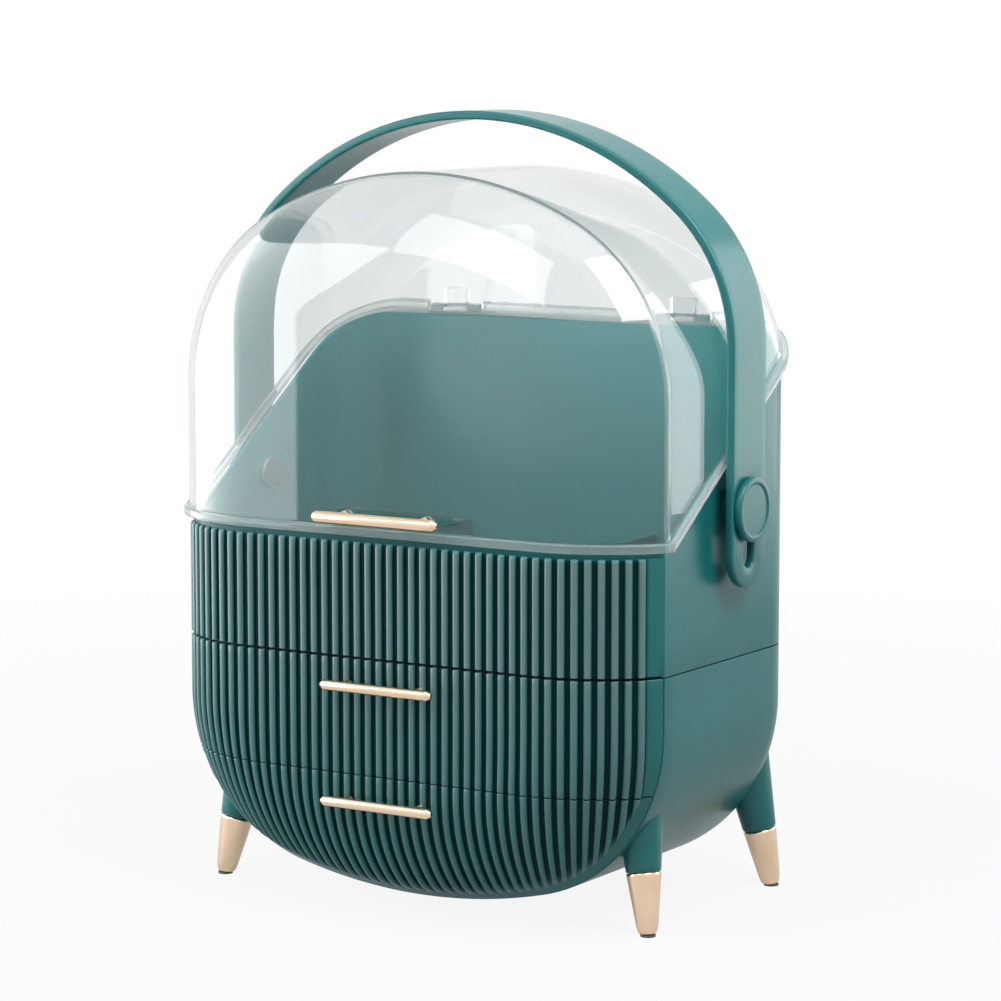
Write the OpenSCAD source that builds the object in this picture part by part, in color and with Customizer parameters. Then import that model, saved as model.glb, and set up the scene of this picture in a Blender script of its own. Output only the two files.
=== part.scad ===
// Cosmetics organiser: two ribbed drawers in a round-bottomed cabinet on four legs,
// a deep open tray above them, a clear hinged hood over the tray and a folding handle.
// Millimetres, +Z up, front faces -Y, origin on the ground under the middle of the whole.

/* [Cabinet] */
// Width across the flat sides
case_w = 285; // [275:1:295]
// Depth of the flat sides, from the hard front edge to the back
case_side_d = 142; // [136:1:150]
// Height of the lowest point of the cabinet above the ground
ground_gap = 6; // [4:0.5:12]
// Radius of the round bottom corners, seen from the front
corner_r = 91.3; // [84:0.1:96]
// Radius of the wide bottom arc, seen from the front
bottom_r = 299.3; // [280:0.1:340]
// Wall of the moulded shells
wall = 2.5; // [2:0.1:3.2]
// How far the middle of the front stands out past its hard edge
front_bulge = 32; // [26:0.5:36]
// Radius of the roll that brings the front back to its edge
front_roll_r = 67.84; // [64:0.01:76]
// Radius of the rolled back edge
back_roll_r = 31; // [24:1:34]
// Height of the joint line between the two drawers
drawer_seam_z = 72.5; // [68:0.5:78]
// Height of the joint line between cabinet and tray
tray_seam_z = 131.7; // [128:0.5:136]

/* [Drawers] */
// Wall of the drawer boxes
drawer_wall = 2; // [1.6:0.1:2.6]
// Wall of the hollow ribbed fronts
front_wall = 3; // [2.4:0.1:3.6]
// Distance from the back of a drawer front to the far end of its box
drawer_depth = 117; // [105:1:119]
// Clearance around a sliding drawer box
slide_gap = 1.4; // [1:0.1:2]
// Gap between two fronts and between a front and the cabinet
front_gap = 0.4; // [0.3:0.05:0.8]
// Gap between a drawer box and what it rests on or passes under
box_gap = 0.6; // [0.4:0.1:1]
// Thickness of the shelf between the drawers
shelf_t = 2.5; // [2:0.1:3]
// Depth of the stop edge behind the front opening
stop_lip = 1.9; // [1.5:0.1:2.2]
// Distance of the upper box's stop from the box's sides
stop_side_in = 20; // [10:1:40]

/* [Ribs] */
// Number of upright ribs across the front
rib_count = 44; // [36:2:48]
// Distance between ribs, measured along the curved front
rib_pitch = 6.57; // [5:0.01:6.6]
// Width of one rib
rib_w = 3.6; // [2.4:0.1:4]
// Height of a rib above the front
rib_h = 2; // [1:0.1:2.5]
// Plain margin left inside the outline of the front
rib_margin = 5.5; // [4:0.5:9]
// Plain band left under the tray's top edge
rib_top_margin = 2.5; // [1.5:0.5:6]

/* [Tray] */
// Height of the tray's level front edge
tray_front_z = 193.7; // [188:0.5:200]
// Slope of the joint between tray and hood, behind the hard front edge
parting_slope = 35; // [30:1:38]
// Thickness of the tray floor
tray_floor_t = 2.5; // [2:0.1:4]
// Height of the loose dividers
divider_h = 46; // [30:1:55]
// Thickness of the loose dividers
divider_t = 2; // [1.6:0.1:2.6]
// Distance of the long divider behind the hard front edge
divider_back = 68; // [50:1:85]
// Distance of the cross dividers from the middle
divider_side = 58; // [45:1:75]
// Clearance of the dividers in their slots and to the walls
divider_gap = 0.4; // [0.3:0.1:0.8]

/* [Hood] */
// How far the hood's sides stand out past the cabinet's
hood_over = 2.5; // [1:0.25:3]
// Height of the top of the hood
hood_top_z = 375; // [365:1:380]
// Radius of the wide top arc
hood_top_r = 196.3; // [185:0.1:220]
// Radius of the upper corners
hood_corner_r = 99.4; // [85:0.1:105]
// Wall of the hood
hood_wall = 2.5; // [2:0.1:3]
// Height of the lip around its lower edge
lip_h = 4; // [3:0.5:5]
// How far the lip stands out
lip_out = 3; // [2:0.25:3.25]
// Gap between the tray's edge and the hood
parting_gap = 0.4; // [0.3:0.1:0.8]

/* [Hinges] */
// Distance of the hinges from the middle
hinge_x = 70; // [50:1:90]
// Outer radius of a hinge knuckle
knuckle_r = 4; // [3.5:0.1:4.2]
// Distance of the hinge axis behind the tray's back wall
hinge_reach = 4.5; // [4.4:0.1:6]
// Length of the middle knuckle, which is part of the hood's lug
lug_len = 14; // [10:1:20]
// Length of each outer knuckle, which is part of the tray's bracket
bracket_len = 9; // [6:1:12]
// Radius of a hinge pin
hinge_pin_r = 1.5; // [1.2:0.1:1.8]
// Height of the block that carries a bracket's knuckle, below the hinge axis
bracket_h = 14; // [10:1:20]
// Height of the block that carries a lug's knuckle
lug_h = 12; // [8:1:16]

/* [Handle] */
// Free space between the cabinet's sides and the handle's arms
arm_space = 6.5; // [6.5:0.5:10]
// Height of the top of the handle
handle_top_z = 404.5; // [400:0.5:415]
// Outer radius of the wide top arc
handle_top_r = 185.5; // [175:0.1:205]
// Outer radius of the upper corners
handle_corner_r = 92.06; // [84:0.01:100]
// Thickness of the handle
handle_t = 4.5; // [4:0.1:5]
// Width of the handle, front to back
handle_band = 34; // [30:1:38]
// Height of the pivot
pivot_z = 208.5; // [204:0.5:212]
// Distance of the pivot behind the hard front edge
pivot_back = 65; // [60:1:70]
// How far the handle can be lifted on its slots
lift = 24; // [16:1:26]
// Distance from the lower end of the arm to the end of its slot
arm_end = 10; // [7:0.5:14]
// Radius of a pivot stud
stud_r = 4.8; // [4:0.1:5.5]
// Radius of a knob
knob_r = 16.3; // [14:0.1:17]
// Thickness of a knob
knob_t = 3.5; // [3:0.1:5]
// Width of the raised ring around a knob's face
knob_ring = 3.5; // [2:0.1:5]
// Depth of a knob's sunken face
knob_sink = 0.8; // [0.4:0.1:1.5]
// Radius of the flat head of a stud, inside the tray
stud_head_r = 8.3; // [7.5:0.1:9]
// Thickness of that head
stud_head_t = 2.5; // [1.5:0.1:3]
// Radius of the boss that carries the arm clear of the tray
boss_r = 9; // [8:0.5:11]
// Radius of the bush in the tray's wall
bush_r = 7; // [6:0.1:8]
// Clearance between stud and slot
slot_clear = 0.3; // [0.2:0.05:0.5]

/* [Pulls] */
// Length of a drawer pull
drawer_pull_len = 67; // [55:1:80]
// Thickness of a drawer pull
drawer_pull_d = 5.4; // [4.5:0.1:6]
// Length of the hood's pull
hood_pull_len = 75; // [60:1:90]
// Thickness of the hood's pull
hood_pull_d = 6.2; // [5:0.1:7]
// Free gap behind every pull
pull_gap = 6.4; // [6:0.1:8]
// Distance of a drawer pull's posts from the middle
drawer_post_x = 21.4; // [18:0.1:26]
// Distance of the hood pull's posts from the middle
hood_post_x = 24; // [20:0.1:30]
// Radius of a pull's posts
pull_post_r = 2.4; // [2.1:0.1:2.7]
// Length of a pull's tapered ends
pull_taper = 2.6; // [1.5:0.1:4]
// Radius of the small end of that taper
pull_end_r = 1.2; // [0.8:0.1:2]
// Height of the upper drawer's pull above the joint between the drawers
upper_pull_rise = 46; // [38:0.5:50]
// Height of the lower drawer's pull below the joint between the drawers
lower_pull_drop = 13.4; // [10:0.1:20]
// Height of the hood's pull above the tray's front edge
hood_pull_rise = 9.8; // [9:0.1:16]

/* [Screws] */
// Radius of every screw's shank
screw_r = 1.5; // [1.2:0.1:1.7]
// Radius of every screw's head
screw_head_r = 2.9; // [2.6:0.1:3.4]
// Height of every screw's head
screw_head_h = 1.6; // [1.2:0.1:2]
// Clearance around a shank where it passes through a wall
screw_clear = 0.15; // [0.1:0.05:0.4]
// How deep a screw bites into a pull's post
pull_bite = 4; // [3:0.5:5]
// How deep a leg's screw bites into the leg and into its foot tip
leg_bite = 7; // [5:0.5:10]
// Distance of the tray's screws inside the flat sides
tray_screw_side_in = 34; // [25:1:50]
// Distance of the tray's front screws behind the hard front edge
tray_screw_front_in = 22; // [15:1:40]
// Distance of the tray's back screws in front of the back
tray_screw_back_in = 34; // [20:1:50]

/* [Legs] */
// Distance of a leg's tip inside the flat side
leg_side_in = 12.8; // [10:0.1:18]
// Distance of a front leg's tip behind the hard front edge
leg_front_in = 7.4; // [5:0.1:14]
// Distance of a back leg's tip in front of the back
leg_back_in = 4.8; // [3:0.1:12]
// How far a leg leans in sideways for each millimetre of height
leg_lean_x = 0.165; // [0.1:0.005:0.2]
// How far a leg leans in from front or back for each millimetre of height
leg_lean_y = 0.135; // [0.08:0.005:0.16]
// Height of the metal foot tip
tip_h = 31.5; // [26:0.5:36]
// Radius of the foot tip at the ground
tip_r_low = 4.9; // [4:0.1:6]
// Radius of the foot tip at its top
tip_r_top = 8.8; // [8:0.1:10]
// Radius of the leg at the end that is cut to the cabinet
leg_r_top = 13.5; // [11:0.1:14]
// Length of the leg above the foot tip, before it is cut to the cabinet
leg_run = 46; // [42:1:50]
// Thickness of the pad under a foot
pad_t = 1; // [0.8:0.1:1.5]

/* [Hidden] */
$fn = 72;

green = [0.07, 0.25, 0.25];
dark_green = [0.05, 0.18, 0.18];
clear = [0.85, 0.93, 0.95, 0.35];
rose_gold = [0.86, 0.62, 0.48];
steel = [0.7, 0.7, 0.72];
rubber = [0.12, 0.12, 0.12];

big = 600;
// How far a cutter runs past what it cuts
past = 1;
// How far a cutting or keeping block runs out past the body
beyond = 40;
// How far a wedge runs past a corner's centre, as a share of the way between two arcs' centres
far_share = 4;
// Gap between pieces that rest on each other
seat_gap = 0.05;
half_w = case_w / 2;
hood_half = half_w + hood_over;
arm_in_x = half_w + arm_space;
arm_out_x = arm_in_x + handle_t;

// Front to back: pull, bulge, flat sides and hinge share out the depth about the middle
pull_reach = pull_gap + hood_pull_d;
total_d = pull_reach + front_bulge + case_side_d + hinge_reach + knuckle_r;
front_y = -total_d / 2 + pull_reach;
edge_y = front_y + front_bulge;
back_y = edge_y + case_side_d;
hinge_y = back_y + hinge_reach;
pivot_y = edge_y + pivot_back;

// The front roll: how far it runs in from the outline
roll_run = sqrt(pow(front_roll_r, 2) - pow(front_roll_r - front_bulge, 2));
roll_centre_y = front_y + front_roll_r;
back_centre_y = back_y - back_roll_r;

// Shells and tray front meet just behind the hard edge
joint_y = edge_y + 0.05;

// The round bottom is drawn with three arcs: a wide one and two corners that run into it smoothly,
// because a corner's centre lies on the line from the wide arc's centre to where the two meet
corner_x = half_w - corner_r;
bottom_z = ground_gap + bottom_r;
corner_z = bottom_z - arc_step(bottom_r, corner_r, corner_x);

// So is the top of the hood
hood_corner_x = hood_half - hood_corner_r;
hood_centre_z = hood_top_z - hood_top_r;
hood_corner_z = hood_centre_z + arc_step(hood_top_r, hood_corner_r, hood_corner_x);
hood_z = tray_front_z + parting_gap;

// Drawers
opening_gap = front_gap / 2;
box_front_y = edge_y - front_gap;
box_back_y = box_front_y + drawer_depth;
shelf_z = drawer_seam_z - shelf_t / 2;
upper_box_z = shelf_z + shelf_t + box_gap;
box_inset = wall + slide_gap;
top_plate_z = tray_seam_z - opening_gap - wall;
stop_gap = 0.8;
stop_front_y = edge_y + 0.5;
stop_t = 2.5;
divider_z = tray_seam_z + opening_gap + tray_floor_t + 2 * seat_gap;
upper_box_half = half_at(upper_box_z, box_inset);

// Hinge
hinge_z = tray_front_z + (back_y - joint_y) * tan(parting_slope);
pin_gap = 0.05;
leaf_gap = 0.3;

// Screws
screw_hole_r = screw_r + screw_clear;
tray_screw_x = half_w - tray_screw_side_in;
tray_screw_ys = [edge_y + tray_screw_front_in, back_y - tray_screw_back_in];
// Pocket that a screw's head sits in, behind a ribbed front
pocket_r = screw_head_r + 0.4;
pocket_h = 3;

// Pivot
arm_gap = 0.4;
slot_r = stud_r + slot_clear;
slot_end_z = pivot_z - lift - slot_r - slot_clear;
arm_end_z = slot_end_z - arm_end;

// Height between the centres of a wide arc and a corner that runs into it
function arc_step(wide_r, side_r, side_x) = sqrt(pow(wide_r - side_r, 2) - pow(side_x, 2));

// Half width at a height, drawn inset from the cabinet's outline
function half_at(z, inset) =
    z >= corner_z
        ? half_w - inset
        : corner_x + sqrt(pow(corner_r - inset, 2) - pow(corner_z - z, 2));

// A rib's place: distance along the curved front to distance from the middle
flat_half = half_w - roll_run;
function rib_angle(s) = max(0, s - flat_half) / front_roll_r * 180 / PI;
function rib_x(s) = min(s, flat_half) + front_roll_r * sin(rib_angle(s));

// Plan of the cabinet or the hood, grown outward by g: x sideways, y back
module plan(half, g) {
    for (side = [0, 1]) mirror([side, 0]) half_plan(half, g);
}

module half_plan(half, g) {
    roll_x = half - roll_run;
    back_x = half - back_roll_r;
    translate([0, front_y - g]) square([roll_x, front_roll_r + g]);
    intersection() {
        translate([roll_x, roll_centre_y]) circle(r = front_roll_r + g);
        translate([roll_x, front_y - g]) square([roll_run + g, front_roll_r + g]);
    }
    translate([0, roll_centre_y]) square([half + g, back_centre_y - roll_centre_y]);
    translate([0, back_centre_y]) square([back_x, back_roll_r + g]);
    intersection() {
        translate([back_x, back_centre_y]) circle(r = back_roll_r + g);
        translate([back_x, back_centre_y]) square([back_roll_r + g, back_roll_r + g]);
    }
}

// What the wide arc fills between two round corners: it ends at the lines that run away from the
// wide arc's centre through the corners' centres. x sideways and y up.
module middle_wedge(x, z, wide_z) {
    far_z = z + far_share * (z - wide_z);
    far_x = x + far_share * x;
    polygon([[-x, z], [x, z], [far_x, far_z], [-far_x, far_z]]);
}

// The half plan turned about a level axis at height z
module turned(radius, g, z) {
    translate([0, 0, z])
        rotate([90, 0, 0])
            rotate_extrude() mirror([0, 1]) half_plan(radius, g);
}

// A form of two round corners and the wide arc between them, grown by g
module arc_form(x, z, side_r, wide_z, wide_r, g) {
    for (side = [-1, 1]) translate([side * x, 0, 0]) turned(side_r, g, z);
    intersection() {
        turned(wide_r, g, wide_z);
        stand(-big, big) middle_wedge(x, z, wide_z);
    }
}

// Outer form of cabinet and tray, grown by g
module case_form(g, top = tray_seam_z) {
    translate([0, 0, corner_z]) linear_extrude(top - corner_z) plan(half_w, g);
    arc_form(corner_x, corner_z, corner_r, bottom_z, bottom_r, g);
}

// Outer form of the hood, grown by g
module hood_form(g) {
    translate([0, 0, hood_z - beyond])
        linear_extrude(hood_corner_z - hood_z + beyond) plan(hood_half, g);
    arc_form(hood_corner_x, hood_corner_z, hood_corner_r, hood_centre_z, hood_top_r, g);
}

// A block that spans the whole width, from y0 to y1 and z0 to z1
module band(y0, y1, z0, z1) {
    translate([-big / 2, y0, z0]) cube([big, y1 - y0, z1 - z0]);
}

// A layer that follows the joint of tray and hood: level in front, sloped behind the hard edge.
// Its underside is the joint raised by z0, its top is the joint raised by z1.
module parting_layer(z0, z1) {
    near = front_y - beyond;
    far = back_y + beyond;
    rise = (far - joint_y) * tan(parting_slope);
    rotate([90, 0, 90])
        translate([0, 0, -big / 2])
            linear_extrude(big)
                polygon([
                    [near, tray_front_z + z0],
                    [joint_y, tray_front_z + z0],
                    [far, tray_front_z + z0 + rise],
                    [far, tray_front_z + z1 + rise],
                    [joint_y, tray_front_z + z1],
                    [near, tray_front_z + z1]
                ]);
}

// Everything above the slope of that joint, run on past the hard edge at the same angle
module above_slope() {
    near = edge_y - beyond;
    far = back_y + beyond;
    slope = tan(parting_slope);
    rotate([90, 0, 90])
        translate([0, 0, -big / 2])
            linear_extrude(big)
                polygon([
                    [near, tray_front_z + (near - joint_y) * slope],
                    [far, tray_front_z + (far - joint_y) * slope],
                    [far, big],
                    [near, big]
                ]);
}

// Round-bottomed outline drawn inset from the cabinet's, x sideways and y up
module case_outline(inset, top) {
    translate([-half_w + inset, corner_z]) square([case_w - 2 * inset, top - corner_z]);
    arc_outline(corner_x, corner_z, corner_r - inset, bottom_z, bottom_r - inset);
}

// The flat drawing of three arcs beyond the level line at height z
module arc_outline(x, z, side_r, wide_z, wide_r) {
    for (side = [-1, 1]) translate([side * x, z]) circle(r = side_r);
    intersection() {
        translate([0, wide_z]) circle(r = wide_r);
        middle_wedge(x, z, wide_z);
    }
}

// Arch drawn with three arcs over straight sides, x sideways and y up
module arch(half, top, top_r, side_r, low) {
    cx = half - side_r;
    cz = top - top_r;
    side_z = cz + arc_step(top_r, side_r, cx);
    translate([-half, low]) square([2 * half, side_z - low]);
    arc_outline(cx, side_z, side_r, cz, top_r);
}

// Stands a drawing up (its y becomes z) and gives it depth from y0 to y1
module stand(y0, y1) {
    translate([0, y1, 0]) rotate([90, 0, 0]) linear_extrude(y1 - y0) children();
}

// A round bar along X
module bar_x(x0, x1, y, z, r) {
    translate([x0, y, z]) rotate([0, 90, 0]) cylinder(h = x1 - x0, r = r);
}

// Upright slabs in the places of the ribs
module rib_comb(z0, z1) {
    for (side = [-1, 1], k = [0 : rib_count / 2 - 1]) {
        s = (k + 0.5) * rib_pitch;
        w = rib_w * cos(rib_angle(s));
        translate([side * rib_x(s) - w / 2, front_y - beyond, z0])
            cube([w, front_bulge + beyond - front_gap, z1 - z0]);
    }
}

// Ribs that stand on the front between two heights
module ribs(z0, z1) {
    intersection() {
        case_form(rib_h, max(z1, corner_z + 1));
        rib_comb(z0, z1);
        stand(front_y - beyond, edge_y) case_outline(rib_margin, max(z1, corner_z + 1));
    }
}

// Hollow front between two heights, open at its back
module ribbed_front(z0, z1) {
    top = max(z1, corner_z + 1);
    difference() {
        union() {
            intersection() {
                case_form(0, top);
                band(front_y - beyond, edge_y - front_gap, z0, z1);
            }
            ribs(z0, z1);
        }
        intersection() {
            case_form(-front_wall, top);
            band(front_y, edge_y + beyond, z0 + front_wall, z1 - front_wall);
        }
    }
}

// Holes for a drawer pull's two screws, with a pocket behind each for its head
module pull_holes(z) {
    for (side = [-1, 1])
        translate([side * drawer_post_x, front_y + front_wall, z])
            rotate([90, 0, 0]) {
                translate([0, 0, -past]) cylinder(h = front_wall + rib_h + 2 * past, r = screw_hole_r);
                translate([0, 0, -pocket_h]) cylinder(h = pocket_h, r = pocket_r);
            }
}

module cabinet_shell() {
    color(green) difference() {
        intersection() {
            case_form(0);
            band(joint_y, back_y + beyond, 0, tray_seam_z - opening_gap);
        }
        difference() {
            case_form(-wall);
            band(edge_y - past, back_y, top_plate_z, big);
            band(edge_y - past, stop_front_y + stop_t, top_plate_z - stop_lip, big);
        }
        for (side = [-1, 1], y = tray_screw_ys)
            translate([side * tray_screw_x, y, top_plate_z - past])
                cylinder(h = wall + 2 * past, r = screw_hole_r);
    }
}

module drawer_shelf() {
    half = half_at(shelf_z, wall + 2 * seat_gap);
    stop_half = half - 12;
    color(dark_green) union() {
        translate([-half, stop_front_y, shelf_z])
            cube([2 * half, back_centre_y - stop_front_y, shelf_t]);
        translate([-stop_half, stop_front_y, shelf_z - stop_lip])
            cube([2 * stop_half, stop_t, stop_lip]);
    }
}

module tray_shell() {
    floor_z = tray_seam_z + opening_gap;
    color(green) difference() {
        intersection() {
            translate([0, 0, floor_z]) linear_extrude(hinge_z + beyond - floor_z) plan(half_w, 0);
            band(joint_y, back_y + beyond, 0, big);
        }
        translate([0, 0, floor_z + tray_floor_t]) linear_extrude(big) plan(half_w, -wall);
        above_slope();
        for (side = [-1, 1])
            bar_x(side * half_w - 2 * wall, side * half_w + 2 * wall, pivot_y, pivot_z, bush_r);
        for (side = [-1, 1], y = tray_screw_ys)
            translate([side * tray_screw_x, y, floor_z - past])
                cylinder(h = tray_floor_t + 2 * past, r = screw_hole_r);
    }
}

module tray_front() {
    z0 = tray_seam_z + opening_gap;
    color(green) difference() {
        union() {
            intersection() {
                translate([0, 0, z0]) linear_extrude(tray_front_z - z0) plan(half_w, 0);
                band(front_y - beyond, joint_y, 0, big);
            }
            intersection() {
                translate([0, 0, z0]) linear_extrude(tray_front_z - rib_top_margin - z0) plan(half_w, rib_h);
                rib_comb(z0, tray_front_z);
                translate([-half_w + rib_margin, front_y - beyond, z0])
                    cube([case_w - 2 * rib_margin, front_bulge + beyond, tray_front_z - z0]);
            }
        }
        translate([0, 0, z0 + tray_floor_t]) linear_extrude(big) plan(half_w, -front_wall);
    }
}

// The long divider is notched from above, the cross dividers from below, so that they interlock
module tray_divider_long() {
    half = half_w - wall - divider_gap;
    y = edge_y + divider_back;
    notch = divider_t + 2 * divider_gap;
    color(dark_green) difference() {
        translate([-half, y, divider_z]) cube([2 * half, divider_t, divider_h]);
        for (side = [-1, 1])
            translate([side * divider_side - notch / 2, y - past, divider_z + divider_h / 2])
                cube([notch, divider_t + 2 * past, divider_h]);
    }
}

module tray_divider_cross() {
    near = edge_y + 6;
    far = back_y - wall - 1;
    notch = divider_t + 2 * divider_gap;
    color(dark_green) for (side = [-1, 1])
        difference() {
            translate([side * divider_side - divider_t / 2, near, divider_z])
                cube([divider_t, far - near, divider_h]);
            translate([side * divider_side - divider_t, edge_y + divider_back - divider_gap, divider_z - past])
                cube([2 * divider_t, notch, divider_h / 2 + divider_gap + past]);
        }
}

// Frame of one leg: its tip on the ground, leaning toward the middle as it rises
module leg_frame(side, row) {
    tip_x = half_w - leg_side_in;
    tip_y = row < 0 ? edge_y + leg_front_in : back_y - leg_back_in;
    translate([side * tip_x, tip_y, 0])
        rotate([atan(row * leg_lean_y), -side * atan(leg_lean_x), 0])
            children();
}

module leg(side, row) {
    color(green) difference() {
        leg_frame(side, row)
            translate([0, 0, tip_h])
                cylinder(h = leg_run, r1 = tip_r_top, r2 = leg_r_top);
        case_form(seat_gap);
        leg_frame(side, row)
            translate([0, 0, tip_h - past]) cylinder(h = leg_bite + past + screw_clear, r = screw_r);
    }
}

module foot_tip(side, row) {
    color(rose_gold) difference() {
        leg_frame(side, row)
            translate([0, 0, -past])
                cylinder(h = tip_h + past, r1 = tip_r_low, r2 = tip_r_top);
        translate([-big / 2, -big / 2, pad_t - big]) cube(big);
        leg_frame(side, row)
            translate([0, 0, tip_h - leg_bite - screw_clear])
                cylinder(h = leg_bite + screw_clear + past, r = screw_r);
    }
}

module foot_pads() {
    color(rubber) for (side = [-1, 1], row = [-1, 1])
        translate([side * (half_w - leg_side_in),
                   row < 0 ? edge_y + leg_front_in : back_y - leg_back_in, 0])
            cylinder(h = pad_t, r = tip_r_low - 1);
}

// A headless screw joins each foot tip to its leg
module leg_screws() {
    color(steel) for (side = [-1, 1], row = [-1, 1])
        leg_frame(side, row)
            translate([0, 0, tip_h - leg_bite]) cylinder(h = 2 * leg_bite, r = screw_r);
}

module tray_screws() {
    head_z = tray_seam_z + opening_gap + tray_floor_t;
    tip_z = top_plate_z - 1;
    color(steel) for (side = [-1, 1], y = tray_screw_ys)
        translate([side * tray_screw_x, y, tip_z]) {
            cylinder(h = head_z - tip_z, r = screw_r);
            translate([0, 0, head_z - tip_z]) cylinder(h = screw_head_h, r = screw_head_r);
        }
}

module hinge_brackets() {
    color(green) for (side = [-1, 1], end = [-1, 1]) {
        x0 = side * hinge_x + end * (lug_len / 2 + leaf_gap + bracket_len / 2) - bracket_len / 2;
        difference() {
            union() {
                bar_x(x0, x0 + bracket_len, hinge_y, hinge_z, knuckle_r);
                translate([x0, back_y + seat_gap, hinge_z - bracket_h])
                    cube([bracket_len, hinge_reach - seat_gap, bracket_h]);
            }
            bar_x(x0 - past, x0 + bracket_len + past, hinge_y, hinge_z, hinge_pin_r);
        }
    }
}

module hinge_pins() {
    reach = lug_len / 2 + leaf_gap + bracket_len;
    color(steel) for (side = [-1, 1])
        bar_x(side * hinge_x - reach, side * hinge_x + reach, hinge_y, hinge_z, hinge_pin_r);
}

module hood_hinge_lugs() {
    // The lug's block starts above the joint, level with the hood's lower edge
    low = hinge_z + 2 * parting_gap;
    color(clear) for (side = [-1, 1]) {
        x0 = side * hinge_x - lug_len / 2;
        difference() {
            union() {
                bar_x(x0, x0 + lug_len, hinge_y, hinge_z, knuckle_r);
                translate([x0, back_y + seat_gap, low]) cube([lug_len, hinge_reach - seat_gap, lug_h]);
            }
            bar_x(x0 - past, x0 + lug_len + past, hinge_y, hinge_z, hinge_pin_r + pin_gap);
        }
    }
}

module pivot_bushes() {
    color(dark_green) for (side = [0, 1]) mirror([side, 0, 0])
        difference() {
            union() {
                bar_x(half_w - wall, half_w, pivot_y, pivot_z, bush_r - seat_gap);
                bar_x(half_w, arm_in_x - arm_gap, pivot_y, pivot_z, boss_r);
            }
            bar_x(half_w - wall - past, arm_in_x + past, pivot_y, pivot_z, stud_r + pin_gap);
        }
}

module drawer_box_upper() {
    top = top_plate_z - stop_lip - stop_gap;
    w = drawer_wall;
    color(dark_green) difference() {
        union() {
            translate([-upper_box_half, box_front_y, upper_box_z])
                cube([2 * upper_box_half, drawer_depth, top - upper_box_z]);
            translate([-upper_box_half + stop_side_in, box_back_y - w, upper_box_z])
                cube([2 * (upper_box_half - stop_side_in), w, top_plate_z - stop_gap - upper_box_z]);
        }
        translate([-upper_box_half + w, box_front_y + w, upper_box_z + w])
            cube([2 * (upper_box_half - w), drawer_depth - 2 * w, big]);
    }
}

module drawer_box_lower() {
    top = shelf_z - stop_lip - stop_gap;
    w = drawer_wall;
    color(dark_green) difference() {
        intersection() {
            stand(box_front_y, box_back_y) case_outline(box_inset, corner_z + 1);
            union() {
                band(box_front_y, box_back_y, 0, top);
                translate([-half_w / 2, box_back_y - w, 0])
                    cube([half_w, w, shelf_z - stop_gap]);
            }
        }
        stand(box_front_y + w, box_back_y - w) case_outline(box_inset + w, corner_z + 2);
    }
}

module drawer_front_upper() {
    z0 = drawer_seam_z + opening_gap;
    z1 = tray_seam_z - opening_gap;
    color(green) difference() {
        ribbed_front(z0, z1);
        pull_holes(drawer_seam_z + upper_pull_rise);
    }
}

module drawer_front_lower() {
    z1 = drawer_seam_z - opening_gap;
    color(green) difference() {
        ribbed_front(0, z1);
        pull_holes(drawer_seam_z - lower_pull_drop);
    }
}

// A pull: a bar with tapered ends on two posts that meet what it is screwed to at seat_y
module pull(len, d, z, post_x, seat_y) {
    bar_y = front_y - pull_gap - d / 2;
    taper_x = len / 2 - pull_taper;
    color(rose_gold) difference() {
        union() {
            bar_x(-taper_x, taper_x, bar_y, z, d / 2);
            for (side = [0, 1]) mirror([side, 0, 0])
                translate([taper_x, bar_y, z])
                    rotate([0, 90, 0]) cylinder(h = pull_taper, r1 = d / 2, r2 = pull_end_r);
            for (side = [-1, 1])
                translate([side * post_x, seat_y, z])
                    rotate([90, 0, 0]) cylinder(h = seat_y - bar_y, r = pull_post_r);
        }
        for (side = [-1, 1])
            translate([side * post_x, seat_y + past, z])
                rotate([90, 0, 0]) cylinder(h = pull_bite + past + screw_clear, r = screw_r);
    }
}

// Screws through a wall of the front into the posts of a pull that stands proud of it
module pull_screws(post_x, z, wall_t, proud) {
    color(steel) for (side = [-1, 1])
        translate([side * post_x, front_y + wall_t, z])
            rotate([90, 0, 0]) {
                cylinder(h = wall_t + proud + pull_bite, r = screw_r);
                translate([0, 0, -screw_head_h]) cylinder(h = screw_head_h, r = screw_head_r);
            }
}

module hood_shell() {
    // The lip is left away where a hinge stands
    hinge_half = lug_len / 2 + leaf_gap + bracket_len + 1;
    relief_h = lip_h + lug_h;
    color(clear) difference() {
        union() {
            intersection() {
                hood_form(0);
                parting_layer(parting_gap, big);
            }
            intersection() {
                hood_form(lip_out);
                parting_layer(parting_gap, parting_gap + lip_h);
            }
        }
        hood_form(-hood_wall);
        for (side = [-1, 1])
            translate([side * hinge_x - hinge_half, back_y, hinge_z - knuckle_r - past])
                cube([2 * hinge_half, lip_out + past, relief_h]);
        for (side = [-1, 1])
            translate([side * hood_post_x, front_y + hood_wall + past, tray_front_z + hood_pull_rise])
                rotate([90, 0, 0]) cylinder(h = hood_wall + 2 * past, r = screw_hole_r);
    }
}

module pivot_stud(side) {
    head_x = half_w - wall - arm_gap;
    color(steel) mirror([side < 0 ? 1 : 0, 0, 0]) union() {
        bar_x(head_x - stud_head_t, head_x, pivot_y, pivot_z, stud_head_r);
        bar_x(head_x, arm_out_x + arm_gap, pivot_y, pivot_z, stud_r);
    }
}

module pivot_knob(side) {
    inner_x = arm_out_x + arm_gap;
    outer_x = inner_x + knob_t;
    color(green) mirror([side < 0 ? 1 : 0, 0, 0])
        difference() {
            bar_x(inner_x, outer_x, pivot_y, pivot_z, knob_r);
            bar_x(outer_x - knob_sink, outer_x + past, pivot_y, pivot_z, knob_r - knob_ring);
        }
}

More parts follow.
